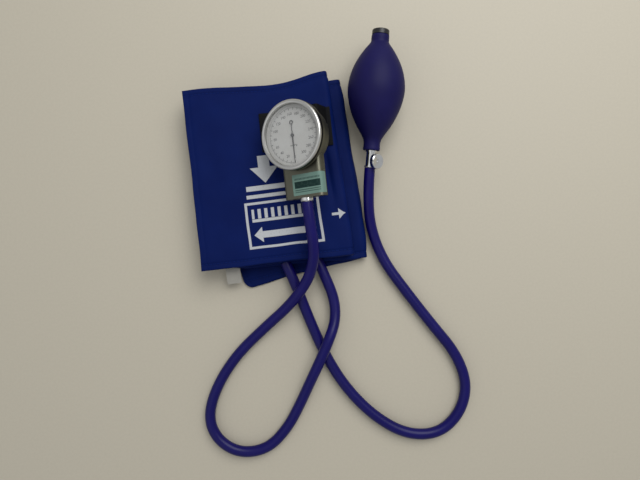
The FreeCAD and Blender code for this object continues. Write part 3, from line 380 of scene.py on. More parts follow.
@dataclass(frozen=True)
class Metal(Finish):
    """Turned or plated metal with fine wear."""

    spread: float = 0.05
    relief: float = 0.004
    metallic: float = 1.0
    scuff_scale: float = 1.5
    cloud_scale: float = 0.12
    cloud_blur: float = 0.25
    cloud_share: float = 0.5
    cloud_shade: float = 0.8

    def paint(self, graph: Graph) -> bpy.types.Material:
        """Make metal with light scuffs in its gloss.

        Args:
            graph: The material's nodes.

        Returns:
            The material.
        """
        place = graph.read(Reading.PLACE)
        scuff = graph.speckle(place, self.scuff_scale, SHARP_NOISE)
        cloud = graph.speckle(place, self.cloud_scale, SOFT_NOISE)
        dull = cloud.above(NOISE_MIDDLE, self.cloud_blur) * self.cloud_share
        return graph.surface(
            Base_Color=graph.mix(dull, self.colour, scaled(self.colour, self.cloud_shade)),
            Metallic=self.metallic,
            Roughness=self.rough(scuff),
            Normal=graph.bump(scuff, self.relief),
        )


@dataclass(frozen=True)
class BezelMetal(Metal):
    """A bezel with a polished lip over a satin skirt and a painted shadow in the seam between them, read in
    the gauge's frame.
    """

    skirt: Colour = shade(108, 107, 94)
    skirt_roughness: float = 0.42
    # Painted shadow: a dark band that stands in for the shade in the gap between the lip and the skirt.
    seam: Colour = shade(16, 16, 15)
    seam_low: float = 18.6
    lip_low: float = 21.0
    blur: float = 0.15

    def paint(self, graph: Graph) -> bpy.types.Material:
        """Make a bright lip, a painted shadow for the seam gap under it and a duller skirt.

        Args:
            graph: The material's nodes.

        Returns:
            The material.
        """
        place = graph.read(Reading.PLACE, GAUGE_FRAME)
        _, _, height = graph.split(place)
        lip = height.above(self.lip_low, self.blur)
        # Mask of the painted seam shadow between the lip and the skirt.
        seam = height.between(self.seam_low, self.lip_low, self.blur)
        scuff = graph.speckle(place, self.scuff_scale, SHARP_NOISE)
        tone = graph.mix(lip, self.skirt, self.colour)
        polish = lip * (self.roughness - self.skirt_roughness) + self.skirt_roughness
        return graph.surface(
            Base_Color=graph.mix(seam, tone, self.seam),
            Metallic=self.metallic,
            Roughness=polish + (scuff - NOISE_MIDDLE) * self.spread,
            Normal=graph.bump(scuff, self.relief),
        )


@dataclass(frozen=True)
class Plain(Finish):
    """Moulded or painted stock with a slight unevenness."""

    grain: float = 1.2
    unevenness: float = 0.14
    blur: float = 0.2

    def paint(self, graph: Graph) -> bpy.types.Material:
        """Make an even surface with a soft mottle.

        Args:
            graph: The material's nodes.

        Returns:
            The material.
        """
        mottle = graph.speckle(graph.read(Reading.PLACE), self.grain, FINE_NOISE)
        dark = scaled(self.colour, 1 - self.unevenness)
        return graph.surface(
            Base_Color=graph.mix(mottle.above(NOISE_MIDDLE, self.blur), dark, self.colour),
            Roughness=self.rough(mottle),
            Normal=graph.bump(mottle, self.relief),
            Specular_IOR_Level=self.gloss,
        )


@dataclass(frozen=True)
class ClearGlass(Finish):
    """A clear glass with a few faint smears."""

    alpha: float = 0.04
    smear_scale: float = 0.09
    smear_edge: float = 0.6
    smear_blur: float = 0.2
    smear_alpha: float = 0.05

    def paint(self, graph: Graph) -> bpy.types.Material:
        """Make a thin clear layer.

        Args:
            graph: The material's nodes.

        Returns:
            The material.
        """
        smear = graph.speckle(graph.read(Reading.PLACE), self.smear_scale, SOFT_NOISE)
        return graph.surface(
            Base_Color=self.colour,
            Alpha=smear.above(self.smear_edge, self.smear_blur) * self.smear_alpha + self.alpha,
            Roughness=self.roughness,
        )


@dataclass(frozen=True)
class Webbing(Finish):
    """Narrow woven tape, read along its own surface."""

    relief: float = 0.18
    rib: float = 1.1
    rib_share: float = 0.6
    pick: float = 0.7
    thread: Colour = (0.05, 0.05, 0.05)

    def paint(self, graph: Graph) -> bpy.types.Material:
        """Make tape with ribs along it and a finer cross thread.

        Args:
            graph: The material's nodes.

        Returns:
            The material.
        """
        along, across, _ = graph.split(graph.read(Reading.SURFACE))
        ribs = (across * (math.tau / self.rib)).wave().lifted()
        picks = ((along * (math.tau / self.pick)).wave() * (across * (math.pi / self.rib)).wave()).lifted()
        height = ribs * self.rib_share + picks * (1 - self.rib_share)
        return graph.surface(
            Base_Color=graph.mix(height, self.colour, self.thread),
            Roughness=self.roughness,
            Normal=graph.bump(height, self.relief),
            Specular_IOR_Level=self.gloss,
        )


@dataclass(frozen=True)
class Patch:
    """A printed rectangle: its spans along and across."""

    span: Place
    rise: Place

    def mask(self, along: Flow, across: Flow, blur: float) -> Flow:
        """Give the rectangle's mask."""
        return along.between(*self.span, blur) * across.between(*self.rise, blur)

    def inside(self, line: float) -> "Patch":
        """Give the rectangle inside a border of a width."""
        span, rise = ((low + line, high - line) for low, high in (self.span, self.rise))
        return Patch(span, rise)


@dataclass(frozen=True)
class Arrowhead:
    """A printed triangle: its tip, the way it points, its length, and its half width for each length."""

    tip: Place
    way: Way
    length: float
    flare: float = 0.9
    slant_blur: float = 0.2

    def mask(self, along: Flow, across: Flow, blur: float) -> Flow:
        """Give the triangle's mask.

        Args:
            along: Millimetres along the cloth.
            across: Millimetres across it.
            blur: The softness of the edge behind the tip.

        Returns:
            The mask.
        """
        back, up = self.way.value
        run, rise = along - self.tip[0], across - self.tip[1]
        depth = run * back + rise * up
        side = (run * up).size() + (rise * back).size()
        outside = (side - depth * self.flare).above(0.0, self.slant_blur)
        return (1 - outside) * depth.between(0.0, self.length, blur)


@dataclass(frozen=True)
class CuffCloth(Finish):
    """Closely woven nylon with a white print, sewn along its hems, read along its own surface."""

    spread: float = 0.14
    relief: float = 0.16
    pale: Colour = (0.03, 0.06, 0.22)
    weave: float = 0.55
    weave_share: float = 0.2
    weave_height: float = 0.35
    fuzz_scale: float = 0.9
    patch_scale: float = 0.035
    patch_blur: float = 0.3
    patch_share: float = 0.5
    hem: float = 4.6
    stitch: float = 3.0
    stitch_span: Place = (0.14, 0.86)
    stitch_blur: float = 0.06
    thread: float = 0.35
    thread_blur: float = 0.12
    thread_share: float = 0.35
    thread_shade: float = 1.5
    thread_height: float = 1.2
    trough: float = 1.1
    trough_blur: float = 0.8
    trough_share: float = 0.25
    # Painted shade: the cloth is darkened in the stitch troughs beside the hems, where shade falls.
    trough_shade: float = 0.6
    trough_depth: float = 0.9
    ink: Colour = shade(178, 180, 182)
    ink_edge: float = 0.16
    ink_height: float = 0.2
    ink_cover: float = 0.72
    ink_wear: Place = (0.34, 0.12)
    border: Patch = Patch((38.5, 95.5), (12.5, 48.5))
    border_line: float = 1.9
    rule: Patch = Patch((43.4, 90.6), (35.5, 43.0))
    rule_step: float = 5.2
    rule_tick: Place = (0.25, 0.72)
    rule_blur: float = 0.05
    bars: tuple[Patch, ...] = (
        Patch((43.4, 90.6), (33.0, 35.2)), Patch((49.0, 85.0), (20.5, 25.5)),
        Patch((41.0, 88.0), (51.4, 54.2)), Patch((41.5, 73.0), (57.2, 61.0)),
        Patch((52.5, 61.5), (74.0, 84.0)), Patch((103.5, 109.5), (31.0, 33.0)),
    )
    heads: tuple[Arrowhead, ...] = (
        Arrowhead((43.4, 23.0), Way.LEFT, 6.6), Arrowhead((90.6, 23.0), Way.RIGHT, 6.6),
        Arrowhead((57.0, 62.6), Way.DOWN, 12.4), Arrowhead((113.0, 32.0), Way.RIGHT, 4.5),
    )

    def ink_mask(self, along: Flow, across: Flow) -> Flow:
        """Give the print's mask: a frame with a rule and a range bar, an arrow above it and one by the fold.

        Args:
            along: Millimetres from the top panel's free end.
            across: Millimetres from its lower edge.

        Returns:
            The mask.
        """
        inside = self.border.inside(self.border_line).mask(along, across, self.ink_edge)
        ticks = (along / self.rule_step).part().between(*self.rule_tick, self.rule_blur)
        ink = self.border.mask(along, across, self.ink_edge) - inside
        ink = ink.most(ticks * self.rule.mask(along, across, self.ink_edge))
        for shape in (*self.bars, *self.heads):
            ink = ink.most(shape.mask(along, across, self.ink_edge))
        return ink

    def paint(self, graph: Graph) -> bpy.types.Material:
        """Make the cloth with its weave, its soft patches, its stitches, painted shade in the stitch troughs
        and its print.

        Args:
            graph: The material's nodes.

        Returns:
            The material.
        """
        surface = graph.read(Reading.SURFACE)
        along, across, _ = graph.split(surface)
        turn = math.pi / self.weave
        weave = (along * turn).wave() * (across * turn).wave()
        fuzz = graph.speckle(surface, self.fuzz_scale, SHARP_NOISE)
        patch = graph.speckle(surface, self.patch_scale, FINE_NOISE).above(NOISE_MIDDLE, self.patch_blur)
        to_edge = CUFF_WIDTH / 2 - (across - CUFF_WIDTH / 2).size()
        row = to_edge.between(self.hem - self.thread, self.hem + self.thread, self.thread_blur)
        stitches = row * (along / self.stitch).part().between(*self.stitch_span, self.stitch_blur)
        trough = to_edge.between(self.hem - self.trough, self.hem + self.trough, self.trough_blur)
        cover = fuzz.above(*self.ink_wear) * (1 - self.ink_cover) + self.ink_cover
        ink = self.ink_mask(along, across) * cover
        tone = graph.mix(patch * self.patch_share + weave * self.weave_share, self.colour, self.pale)
        # Painted shade in the stitch troughs, over their real dip in the bump.
        tone = graph.mix(trough * self.trough_share, tone, scaled(self.colour, self.trough_shade))
        tone = graph.mix(stitches * self.thread_share, tone, scaled(self.pale, self.thread_shade))
        height = weave * self.weave_height + stitches * self.thread_height
        height = height - trough * self.trough_depth + ink * self.ink_height
        return graph.surface(
            Base_Color=graph.mix(ink, tone, self.ink),
            Roughness=self.rough(fuzz),
            Normal=graph.bump(height, self.relief),
            Specular_IOR_Level=self.gloss,
        )


@dataclass(frozen=True)
class Sticker(Finish):
    """A blank printed sticker: a band, dots and thin rules on a pale ground, read in the gauge's frame."""

    spread: float = 0.12
    relief: float = 0.02
    ink: Colour = shade(14, 42, 39)
    span: Place = (-6.3, 15.4)
    band: Place = (-38.3, -33.3)
    dots: Place = (-32.2, -30.8)
    dot_step: float = 1.15
    dot_span: Place = (0.2, 0.8)
    dot_share: float = 0.8
    rules: tuple[Place, ...] = ((-40.0, -39.3), (-41.4, -40.8))
    rule_share: float = 0.7
    blur: float = 0.12
    fine_blur: float = 0.1
    scuff_scale: float = 0.8
    ink_cover: float = 0.88
    ink_wear: Place = (0.4, 0.15)
    ground_blur: float = 0.25
    ground_share: float = 0.4
    ground_shade: float = 0.8

    def paint(self, graph: Graph) -> bpy.types.Material:
        """Make the sticker's worn ground, band, dots and rules.

        Args:
            graph: The material's nodes.

        Returns:
            The material.
        """
        place = graph.read(Reading.PLACE, GAUGE_FRAME)
        across, up, _ = graph.split(place)
        inside = across.between(*self.span, self.blur)
        ink = up.between(*self.band, self.blur)
        dots = (across / self.dot_step).part().between(*self.dot_span, self.fine_blur)
        ink = ink.most(dots * up.between(*self.dots, self.blur) * self.dot_share)
        for rule in self.rules:
            ink = ink.most(up.between(*rule, self.fine_blur) * self.rule_share)
        scuff = graph.speckle(place, self.scuff_scale, SHARP_NOISE)
        cover = scuff.above(*self.ink_wear) * (1 - self.ink_cover) + self.ink_cover
        dull = scuff.above(NOISE_MIDDLE, self.ground_blur) * self.ground_share
        ground = graph.mix(dull, self.colour, scaled(self.colour, self.ground_shade))
        return graph.surface(
            Base_Color=graph.mix(ink * inside * cover, ground, self.ink),
            Roughness=self.rough(scuff),
            Normal=graph.bump(scuff, self.relief),
            Specular_IOR_Level=self.gloss,
        )


def pick(*objects: bpy.types.Object) -> None:
    """Select only these objects, with the first one active.

    Args:
        objects: The objects.
    """
    bpy.ops.object.select_all(action="DESELECT")
    for obj in objects:
        obj.select_set(True)
    bpy.context.view_layer.objects.active = objects[0]


def operate(obj: bpy.types.Object, *works: Callable[[], Any]) -> None:
    """Run edit-mode operators on one object, each with all of it selected.

    Args:
        obj: The object.
        works: The operators, as calls without arguments.
    """
    pick(obj)
    bpy.ops.object.mode_set(mode="EDIT")
    for work in works:
        bpy.ops.mesh.select_all(action="SELECT")
        work()
    bpy.ops.object.mode_set(mode="OBJECT")


def seal(obj: bpy.types.Object, gap: float) -> None:
    """Merge points within a gap in millimetres and turn all faces outwards."""
    outwards = partial(bpy.ops.mesh.normals_make_consistent, inside=False)
    operate(obj, partial(bpy.ops.mesh.remove_doubles, threshold=gap * MM), outwards)


def settle(obj: bpy.types.Object, frame: Matrix | None = None) -> None:
    """Put an object's place, and a frame that it was modelled in, into its mesh.

    Args:
        obj: The object.
        frame: The frame, in metres.
    """
    obj.matrix_world = (frame or Matrix.Identity(4)) @ obj.matrix_world
    bpy.context.view_layer.update()
    pick(obj)
    bpy.ops.object.transform_apply(location=True, rotation=True, scale=True)


def finish_with(obj: bpy.types.Object, kind: str, **settings: Any) -> None:
    """Add a modifier and apply it.

    Args:
        obj: The object.
        kind: The modifier's type.
        settings: The modifier's settings.
    """
    modifier = obj.modifiers.new(kind.title(), kind)
    for key, value in settings.items():
        setattr(modifier, key, value)
    pick(obj)
    bpy.ops.object.modifier_apply(modifier=modifier.name)


def smooth(obj: bpy.types.Object, degrees: float = 40.0) -> None:
    """Shade smooth, with edges sharper than an angle kept."""
    pick(obj)
    bpy.ops.object.shade_smooth_by_angle(angle=math.radians(degrees))


def mesh_object(name: str, points: Sequence, edges: Sequence = (), faces: Sequence = ()) -> bpy.types.Object:
    """Make an object of points in millimetres.

    Args:
        name: The object's name.
        points: The points.
        edges: Pairs of points that lie on no face.
        faces: The points of each face.

    Returns:
        The object.
    """
    mesh = bpy.data.meshes.new(name)
    mesh.from_pydata([Vector(point) * MM for point in points], edges, faces)
    obj = bpy.data.objects.new(name, mesh)
    bpy.context.collection.objects.link(obj)
    return obj


def grid_faces(rows: int, columns: int, closed: bool = False) -> list[tuple[int, ...]]:
    """Give the faces between rows of points.

    Args:
        rows: The number of rows.
        columns: The number of points in each row.
        closed: Whether each row is a ring.

    Returns:
        The four points of each face.
    """
    faces = []
    for row in range(rows - 1):
        here, ahead = row * columns, (row + 1) * columns
        for column in range(columns if closed else columns - 1):
            beside = (column + 1) % columns
            faces.append((here + column, here + beside, ahead + beside, ahead + column))
    return faces


def lay_map(obj: bpy.types.Object, places: Sequence[Place]) -> None:
    """Give each corner of a mesh its point's flat place, in millimetres, as a UV in metres.

    Args:
        obj: The object.
        places: The flat place of each point.
    """
    layer = obj.data.uv_layers.new(name="flat")
    for loop in obj.data.loops:
        layer.data[loop.index].uv = [part * MM for part in places[loop.vertex_index]]


def ramp(value: float, low: float, high: float) -> float:
    """Rise smoothly from 0 at low to 1 at high."""
    share = min(max((value - low) / (high - low), 0.0), 1.0)
    return share * share * (3 - 2 * share)


def hill(value: float, low: float, top: float, high: float) -> float:
    """Rise smoothly to 1 at top and fall again."""
    return ramp(value, low, top) * (1 - ramp(value, top, high))


@dataclass(frozen=True)
class Ripple:
    """A smooth uneven wave in cloth: its scale and start on each axis, its lean and its height."""

    scale: Point
    start: Point = (0.0, 0.0, 0.0)
    lean: float = 0.0
    height: float = 1.0

    def at(self, x: float, y: float, z: float = 0.0) -> float:
        """Give the wave's height at a place.

        Args:
            x: The place on the first axis.
            y: The place on the second axis.
            z: The place on the third axis.

        Returns:
            The height, in millimetres.
        """
        spot = [value * scale + start for value, scale, start in zip((x, y, z), self.scale, self.start)]
        spot[0] += y * self.lean
        return noise.noise(Vector(spot)) * self.height


@dataclass(frozen=True)
class CrossLine:
    """A line across the folded cuff: its middle and its turn in degrees."""

    x: float
    y: float
    turn: float

    def at(self, across: float) -> Vector:
        """Give the point at a distance from the lower edge."""
        angle, reach = math.radians(self.turn), across - CUFF_WIDTH / 2
        return Vector((self.x - math.sin(angle) * reach, self.y + math.cos(angle) * reach, 0.0))

    def out(self) -> Vector:
        """Give the direction square to the line, towards +X."""
        angle = math.radians(self.turn)
        return Vector((math.cos(angle), math.sin(angle), 0.0))


@dataclass(frozen=True)
class Station:
    """A cross section of the cuff: its distance along the strip, the points of its faces, and its padding."""

    along: float
    faces: Callable[[float], Faces]
    padded: bool


@dataclass(frozen=True)
class Dent:
    """A long soft dent: where it starts, is deepest and ends, along and across, and its depth."""

    along: Point
    across: Point
    depth: float


@dataclass
class Cuff:
    """The folded cuff: four padded panels in one strip, with soft folds and hems."""

    panels: tuple[Place, ...] = ((19.1, 22.1), (12.6, 18.1), (5.2, 10.7), (0.0, 3.0))
    padded_panels: tuple[int, ...] = (1, 2)
    ends: tuple[CrossLine, ...] = (
        CrossLine(-63.19, -7.63, 6.4), CrossLine(47.9, 6.6, 8.1), CrossLine(-52.87, -9.18, 7.0),
        CrossLine(58.96, 3.96, 8.3), CrossLine(-45.02, -24.1, 17.0),
    )
    panel_steps: int = 92
    bend_steps: int = 12
    end_crowding: float = 1.35
    hem_levels: tuple[float, ...] = (
        0.0, 0.12, 0.4, 0.9, 1.6, 2.6, 3.6, 4.6, 5.6, 7.2, 9.5, 12.5, 16.0, 20.0,
    )
    middle_rows: int = 28
    hem_radius: float = 0.9
    hem_rise: float = 1.0
    padded_hem: float = 0.42
    padded_full: float = 17.0
    plain_hem: float = 0.8
    plain_full: float = 9.0
    groove: Point = (3.2, 4.6, 6.0)
    groove_depth: float = 0.16
    round_corner: float = 6.0
    corner_run: float = 60.0
    dip: float = 4.4
    dip_places: Point = (-62.0, 2.0, 40.0)
    dip_band: float = 62.0
    low_band: float = 40.0
    wander: Ripple = Ripple((0.045, 0.02, 0.3), height=1.1)
    wander_share: float = 0.8
    shift: Ripple = Ripple((0.04, 0.0, 0.5), start=(0.0, 7.3, 0.0), height=0.8)
    tuck: float = 3.2
    tuck_places: Place = (-36.0, -16.0)
    tuck_levels: Place = (4.0, 19.0)
    spread: float = 1.8
    spread_places: Place = (15.0, 60.0)
    spread_band: Place = (40.0, 100.0)
    crease_end: float = 118.0
    crease_fade: Place = (112.0, 127.0)
    broad: Ripple = Ripple((0.03, 0.022, 0.0), start=(0.0, 0.0, 3.1), height=0.9)
    ridge: Ripple = Ripple((0.085, 0.02, 0.0), start=(0.0, 0.0, 9.4), lean=0.03, height=0.45)
    ridge_share: float = 0.6
    ridge_places: Place = (84.0, 108.0)
    crease_lift: float = 0.2
    strap_centre: Place = (20.5, 32.8)
    strap_reach: Place = (34.0, 22.0)
    strap_fade: Place = (1.0, 1.5)
    curl: float = 2.6
    curl_places: Place = (82.0, 112.0)
    curl_band: float = 34.0
    corner_lift: float = 1.1
    corner_reach: Place = (26.0, 34.0)
    dent_slant: float = 0.02
    dents: tuple[Dent, ...] = (
        Dent((94.0, 98.5, 104.0), (44.0, 74.0, 104.0), 1.5),
        Dent((103.6, 107.0, 110.4), (30.0, 62.0, 100.0), 2.4),
        Dent((76.0, 82.0, 90.0), (40.0, 62.0, 80.0), 0.9),
    )
    merge_gap: float = 0.01
    sharp: float = 75.0

    def rows(self) -> list[float]:
        """Give the distances across the strip at which its points lie, closer near the hems.

        Returns:
            The distances from the lower edge.
        """
        last = self.hem_levels[-1]
        step = (CUFF_WIDTH - 2 * last) / (self.middle_rows + 1)
        middle = [last + step * (row + 1) for row in range(self.middle_rows)]
        return [*self.hem_levels, *middle, *[CUFF_WIDTH - level for level in reversed(self.hem_levels)]]

    def swell(self, to_edge: float, padded: bool) -> float:
        """Give the share of the thickness near a hem.

        Args:
            to_edge: The distance from the hem.
            padded: Whether the panel holds the bladder.

        Returns:
            The share.
        """
        lip = math.sqrt(1 - (1 - min(to_edge / self.hem_radius, 1.0)) ** 2)
        hem, full = (self.padded_hem, self.padded_full) if padded else (self.plain_hem, self.plain_full)
        groove = self.groove_depth * hill(to_edge, *self.groove)
        return lip * (hem + (1 - hem) * ramp(to_edge, self.hem_rise, full) - groove)

    def sag(self, spot: Vector, across: float) -> Vector:
        """Give how far the cloth has slipped from its flat place.

        Args:
            spot: The flat place.
            across: The distance from the lower edge.

        Returns:
            The slip.
        """
        top = ramp(across, CUFF_WIDTH - self.dip_band, CUFF_WIDTH)
        low = 1 - ramp(across, 0.0, self.low_band)
        dip = -self.dip * hill(spot.x, *self.dip_places) * top
        wander = self.wander.at(spot.x, across, spot.z) * (top + low) * self.wander_share
        spread = self.spread * ramp(spot.x, *self.spread_places)
        tucked = self.tuck_levels[0] < spot.z < self.tuck_levels[1]
        tuck = self.tuck * (1 - ramp(spot.x, *self.tuck_places)) if tucked else 0.0
        out = spread * (1 - ramp(across, *self.spread_band)) + self.shift.at(across, 0.0, spot.z)
        return Vector((out, dip + (tuck - spread) * low + spread * top + wander, 0.0))

    def dent(self, along: float, across: float) -> float:
        """Give the depth of the long soft dents beside the top panel's fold.

        Args:
            along: The distance from the top panel's free end.
            across: The distance from the lower edge.

        Returns:
            The depth.
        """
        slant = along + across * self.dent_slant
        return sum(dent.depth * hill(slant, *dent.along) * hill(across, *dent.across) for dent in self.dents)

    def crease(self, spot: Vector, along: float, across: float) -> float:
        """Give the height of the soft creases in the top panel.

        Args:
            spot: The flat place.
            along: The distance from the panel's free end.
            across: The distance from the lower edge.

        Returns:
            The height.
        """
        from_strap = max(
            abs(place - centre) / reach
            for place, centre, reach in zip(spot.xy, self.strap_centre, self.strap_reach)
        )
        ridges = self.ridge.at(spot.x, spot.y) * (self.ridge_share + ramp(along, *self.ridge_places))
        waves = self.broad.at(spot.x, spot.y) + ridges + self.crease_lift
        near_top = ramp(across, CUFF_WIDTH - self.curl_band, CUFF_WIDTH)
        curl = self.curl * ramp(along, *self.curl_places) * near_top
        corner = (1 - ramp(along, 0.0, self.corner_reach[0])) * (1 - ramp(across, 0.0, self.corner_reach[1]))
        return waves * ramp(from_strap, *self.strap_fade) + curl + self.corner_lift * corner

    @staticmethod
    def flat(across: float, start: CrossLine, end: CrossLine, share: float, levels: Place) -> Faces:
        """Give the points of a flat panel's two faces.

        Args:
            across: The distance from the lower edge.
            start: The line that the panel starts at.
            end: The line that it ends at.
            share: The share of the way between them.
            levels: The heights of its faces.

        Returns:
            The two points.
        """
        spot = start.at(across).lerp(end.at(across), share)
        return tuple(Vector((spot.x, spot.y, level)) for level in levels)

    @staticmethod
    def bend(across: float, line: CrossLine, angle: float, side: int, near: Place, far: Place) -> Faces:
        """Give the points of a fold's two faces.

        Args:
            across: The distance from the lower edge.
            line: The line that the fold starts and ends at.
            angle: How far round the fold, in radians.
            side: 1 for a fold towards +X, -1 for one towards -X.
            near: The heights of the faces before the fold.
            far: The heights of the same faces after it.

        Returns:
            The two points.
        """
        spots = []
        for before, after in zip(near, far):
            middle, radius = (before + after) / 2, (before - after) / 2
            spot = line.at(across) + line.out() * (side * abs(radius) * math.sin(angle))
            spots.append(Vector((spot.x, spot.y, middle + radius * math.cos(angle))))
        return tuple(spots)

    def shares(self, index: int) -> list[float]:
        """Give where a panel's cross sections lie, closer near the strip's two ends.

        Args:
            index: The panel's number.

        Returns:
            The shares of the panel's length.
        """
        last = index == len(self.panels) - 1
        shares = [step / self.panel_steps for step in range(self.panel_steps + last)]
        if index == 0:
            return [share**self.end_crowding for share in shares]
        if last:
            return [1 - (1 - share) ** self.end_crowding for share in shares[1:]]
        return shares[1:]

    def stations(self) -> Iterator[Station]:
        """Give the cross sections along the strip.

        Returns:
            Each panel's sections, and those of the fold after it.
        """
        along = 0.0
        faces = [levels if index % 2 else levels[::-1] for index, levels in enumerate(self.panels)]
        for index, near in enumerate(faces):
            start, end = self.ends[index], self.ends[index + 1]
            padded = index in self.padded_panels
            length = math.hypot(end.x - start.x, end.y - start.y)
            for share in self.shares(index):
                place = partial(self.flat, start=start, end=end, share=share, levels=near)
                yield Station(along + length * share, place, padded)
            along += length
            if end is self.ends[-1]:
                return
            far, side = faces[index + 1], -1 if index % 2 else 1
            radius = abs(sum(near) - sum(far)) / 4
            for step in range(self.bend_steps + 1):
                angle = math.pi * step / self.bend_steps
                fold = partial(self.bend, line=end, angle=angle, side=side, near=near, far=far)
                yield Station(along + radius * angle, fold, padded)
            along += radius * math.pi

    def ring(self, station: Station, total: float) -> list[tuple[Vector, Place]]:
        """Give the points round one cross section.

        Args:
            station: The cross section.
            total: The strip's whole length.

        Returns:
            The points and their flat places, across on the first face and back on the second.
        """
        along = station.along
        end_share = self.swell(min(along, total - along), False)
        creased = along < self.crease_end
        fade = 1 - ramp(along, *self.crease_fade)
        sides: tuple[list, list] = ([], [])
        for across in self.rows():
            to_edge = min(across, CUFF_WIDTH - across)
            spots = station.faces(across)
            inset = max(self.round_corner - to_edge, 0.0)
            pull = self.round_corner - math.sqrt(self.round_corner**2 - inset**2)
            trim = Vector((pull * ramp(along, total - self.corner_run, total), 0, 0))
            middle = (spots[0] + spots[1]) / 2 + trim
            share = self.swell(to_edge, station.padded) * end_share
            slip = self.sag(middle, across)
            lift = self.crease(middle, along, across) * fade if creased else 0.0
            dent = self.dent(along, across) if creased else 0.0
            for side, spot, rise in zip(sides, spots, (lift - dent, lift)):
                half = (spot + trim - middle) * share
                side.append((middle + half + slip + Vector((0, 0, rise)), (along, across)))
        return sides[0] + sides[1][::-1]

    def build(self) -> bpy.types.Object:
        """Make the padded strip.

        Returns:
            The cuff's cloth.
        """
        stations = list(self.stations())
        rings = [self.ring(station, stations[-1].along) for station in stations]
        points, flat = zip(*(corner for ring in rings for corner in ring))
        obj = mesh_object("cuff_cloth", points, faces=grid_faces(len(rings), len(rings[0]), closed=True))
        lay_map(obj, flat)
        seal(obj, self.merge_gap)
        smooth(obj, self.sharp)
        return obj


@dataclass
class Strap:
    """The webbing loop on the cuff that the gauge's clip hooks on, in a frame of its own."""

    place: Place = GAUGE_PLACE[:2]
    turn: float = GAUGE_TURN
    line: tuple[Place, ...] = ((-34.9, 22.8), (-13.4, 22.8), (10.09, 36.34), (17.0, 22.8), (20.5, 22.8))
    width: float = 30.0
    centre: float = 9.6
    thickness: float = 1.4
    snug: float = 0.94
    bend_radius: float = 1.3
    bend_steps: int = 5
    bend_limit: float = 0.4
    step: float = 1.6
    columns: int = 15
    edge: float = 0.35
    edge_segments: int = 2
    edge_angle: float = 60.0

    def path(self) -> list[Place]:
        """Give the strap's middle line with its corners rounded.

        Returns:
            Points along it, none far apart.
        """
        corners = [Vector(corner) for corner in self.line]
        points = [self.line[0]]
        for before, corner, after in zip(corners, corners[1:], corners[2:]):
            back, ahead = before - corner, after - corner
            reach = self.bend_radius / math.tan(back.angle(ahead) / 2)
            reach = min(reach, back.length * self.bend_limit, ahead.length * self.bend_limit)
            start, end = corner + back.normalized() * reach, corner + ahead.normalized() * reach
            for step in range(self.bend_steps + 1):
                share = step / self.bend_steps
                points.append(tuple(start.lerp(corner, share).lerp(corner.lerp(end, share), share)))
        points.append(self.line[-1])
        filled = points[:1]
        for a, b in zip(points, points[1:]):
            count = max(1, round(math.dist(a, b) / self.step))
            filled += [tuple(Vector(a).lerp(Vector(b), (i + 1) / count)) for i in range(count)]
        return filled

    @property
    def length(self) -> float:
        """Give the length of the webbing along its line."""
        path = self.path()
        return sum(math.dist(a, b) for a, b in zip(path, path[1:]))

    def build(self) -> bpy.types.Object:
        """Make the strap as a strip of tape with a thickness.

        Returns:
            The strap.
        """
        path = self.path()
        points, flat = [], []
        along = 0.0
        for before, (x, z) in zip(path[:1] + path, path):
            along += math.dist(before, (x, z))
            for column in range(self.columns):
                across = self.width * column / (self.columns - 1)
                points.append((x, self.centre - self.width / 2 + across, z))
                flat.append((along, across))
        faces = [face[::-1] for face in grid_faces(len(path), self.columns)]
        obj = mesh_object("strap_webbing", points, faces=faces)
        lay_map(obj, flat)
        finish_with(obj, "SOLIDIFY", thickness=self.thickness * self.snug * MM, offset=0.0)
        finish_with(
            obj, "BEVEL", width=self.edge * MM, segments=self.edge_segments, limit_method="ANGLE",
            angle_limit=math.radians(self.edge_angle),
        )
        turn = Matrix.Rotation(math.radians(self.turn), 4, "Z")
        settle(obj, Matrix.Translation(Vector((*self.place, 0)) * MM) @ turn)
        smooth(obj)
        return obj


@dataclass
class Tag:
    """The blank cloth tag under the cuff's edge."""

    width: float = 11.5
    length: float = 18.0
    overhang: float = 10.0
    thickness: float = 0.35
    corner: Point = (-39.18, -71.0, 10.9)
    turn: float = 6.74
    steps: int = 18
    droop: float = 0.05
    droop_power: float = 1.7
    wave: float = 0.25
    wave_rate: float = 0.45
    wave_reach: float = 8.0

    def build(self) -> bpy.types.Object:
        """Make the tag as a thin sheet that droops a little past the edge.

        Returns:
            The tag.
        """
        points, flat = [], []
        angle = math.radians(self.turn)
        along = Vector((math.cos(angle), math.sin(angle), 0))
        out = Vector((along.y, -along.x, 0))
        for row in range(self.steps + 1):
            down = self.length * row / self.steps
            past = max(0.0, down - (self.length - self.overhang))
            for column in range(self.steps + 1):
                side = self.width * column / self.steps
                wave = self.wave * math.sin(side * self.wave_rate) * ramp(past, 0.0, self.wave_reach)
                rise = Vector((0, 0, wave - self.droop * past**self.droop_power))
                points.append(Vector(self.corner) + along * side + out * down + rise)
                flat.append((side, down))
        obj = mesh_object("care_tag_cloth", points, faces=grid_faces(self.steps + 1, self.steps + 1))
        lay_map(obj, flat)
        finish_with(obj, "SOLIDIFY", thickness=self.thickness * MM, offset=0.0)
        smooth(obj)
        return obj


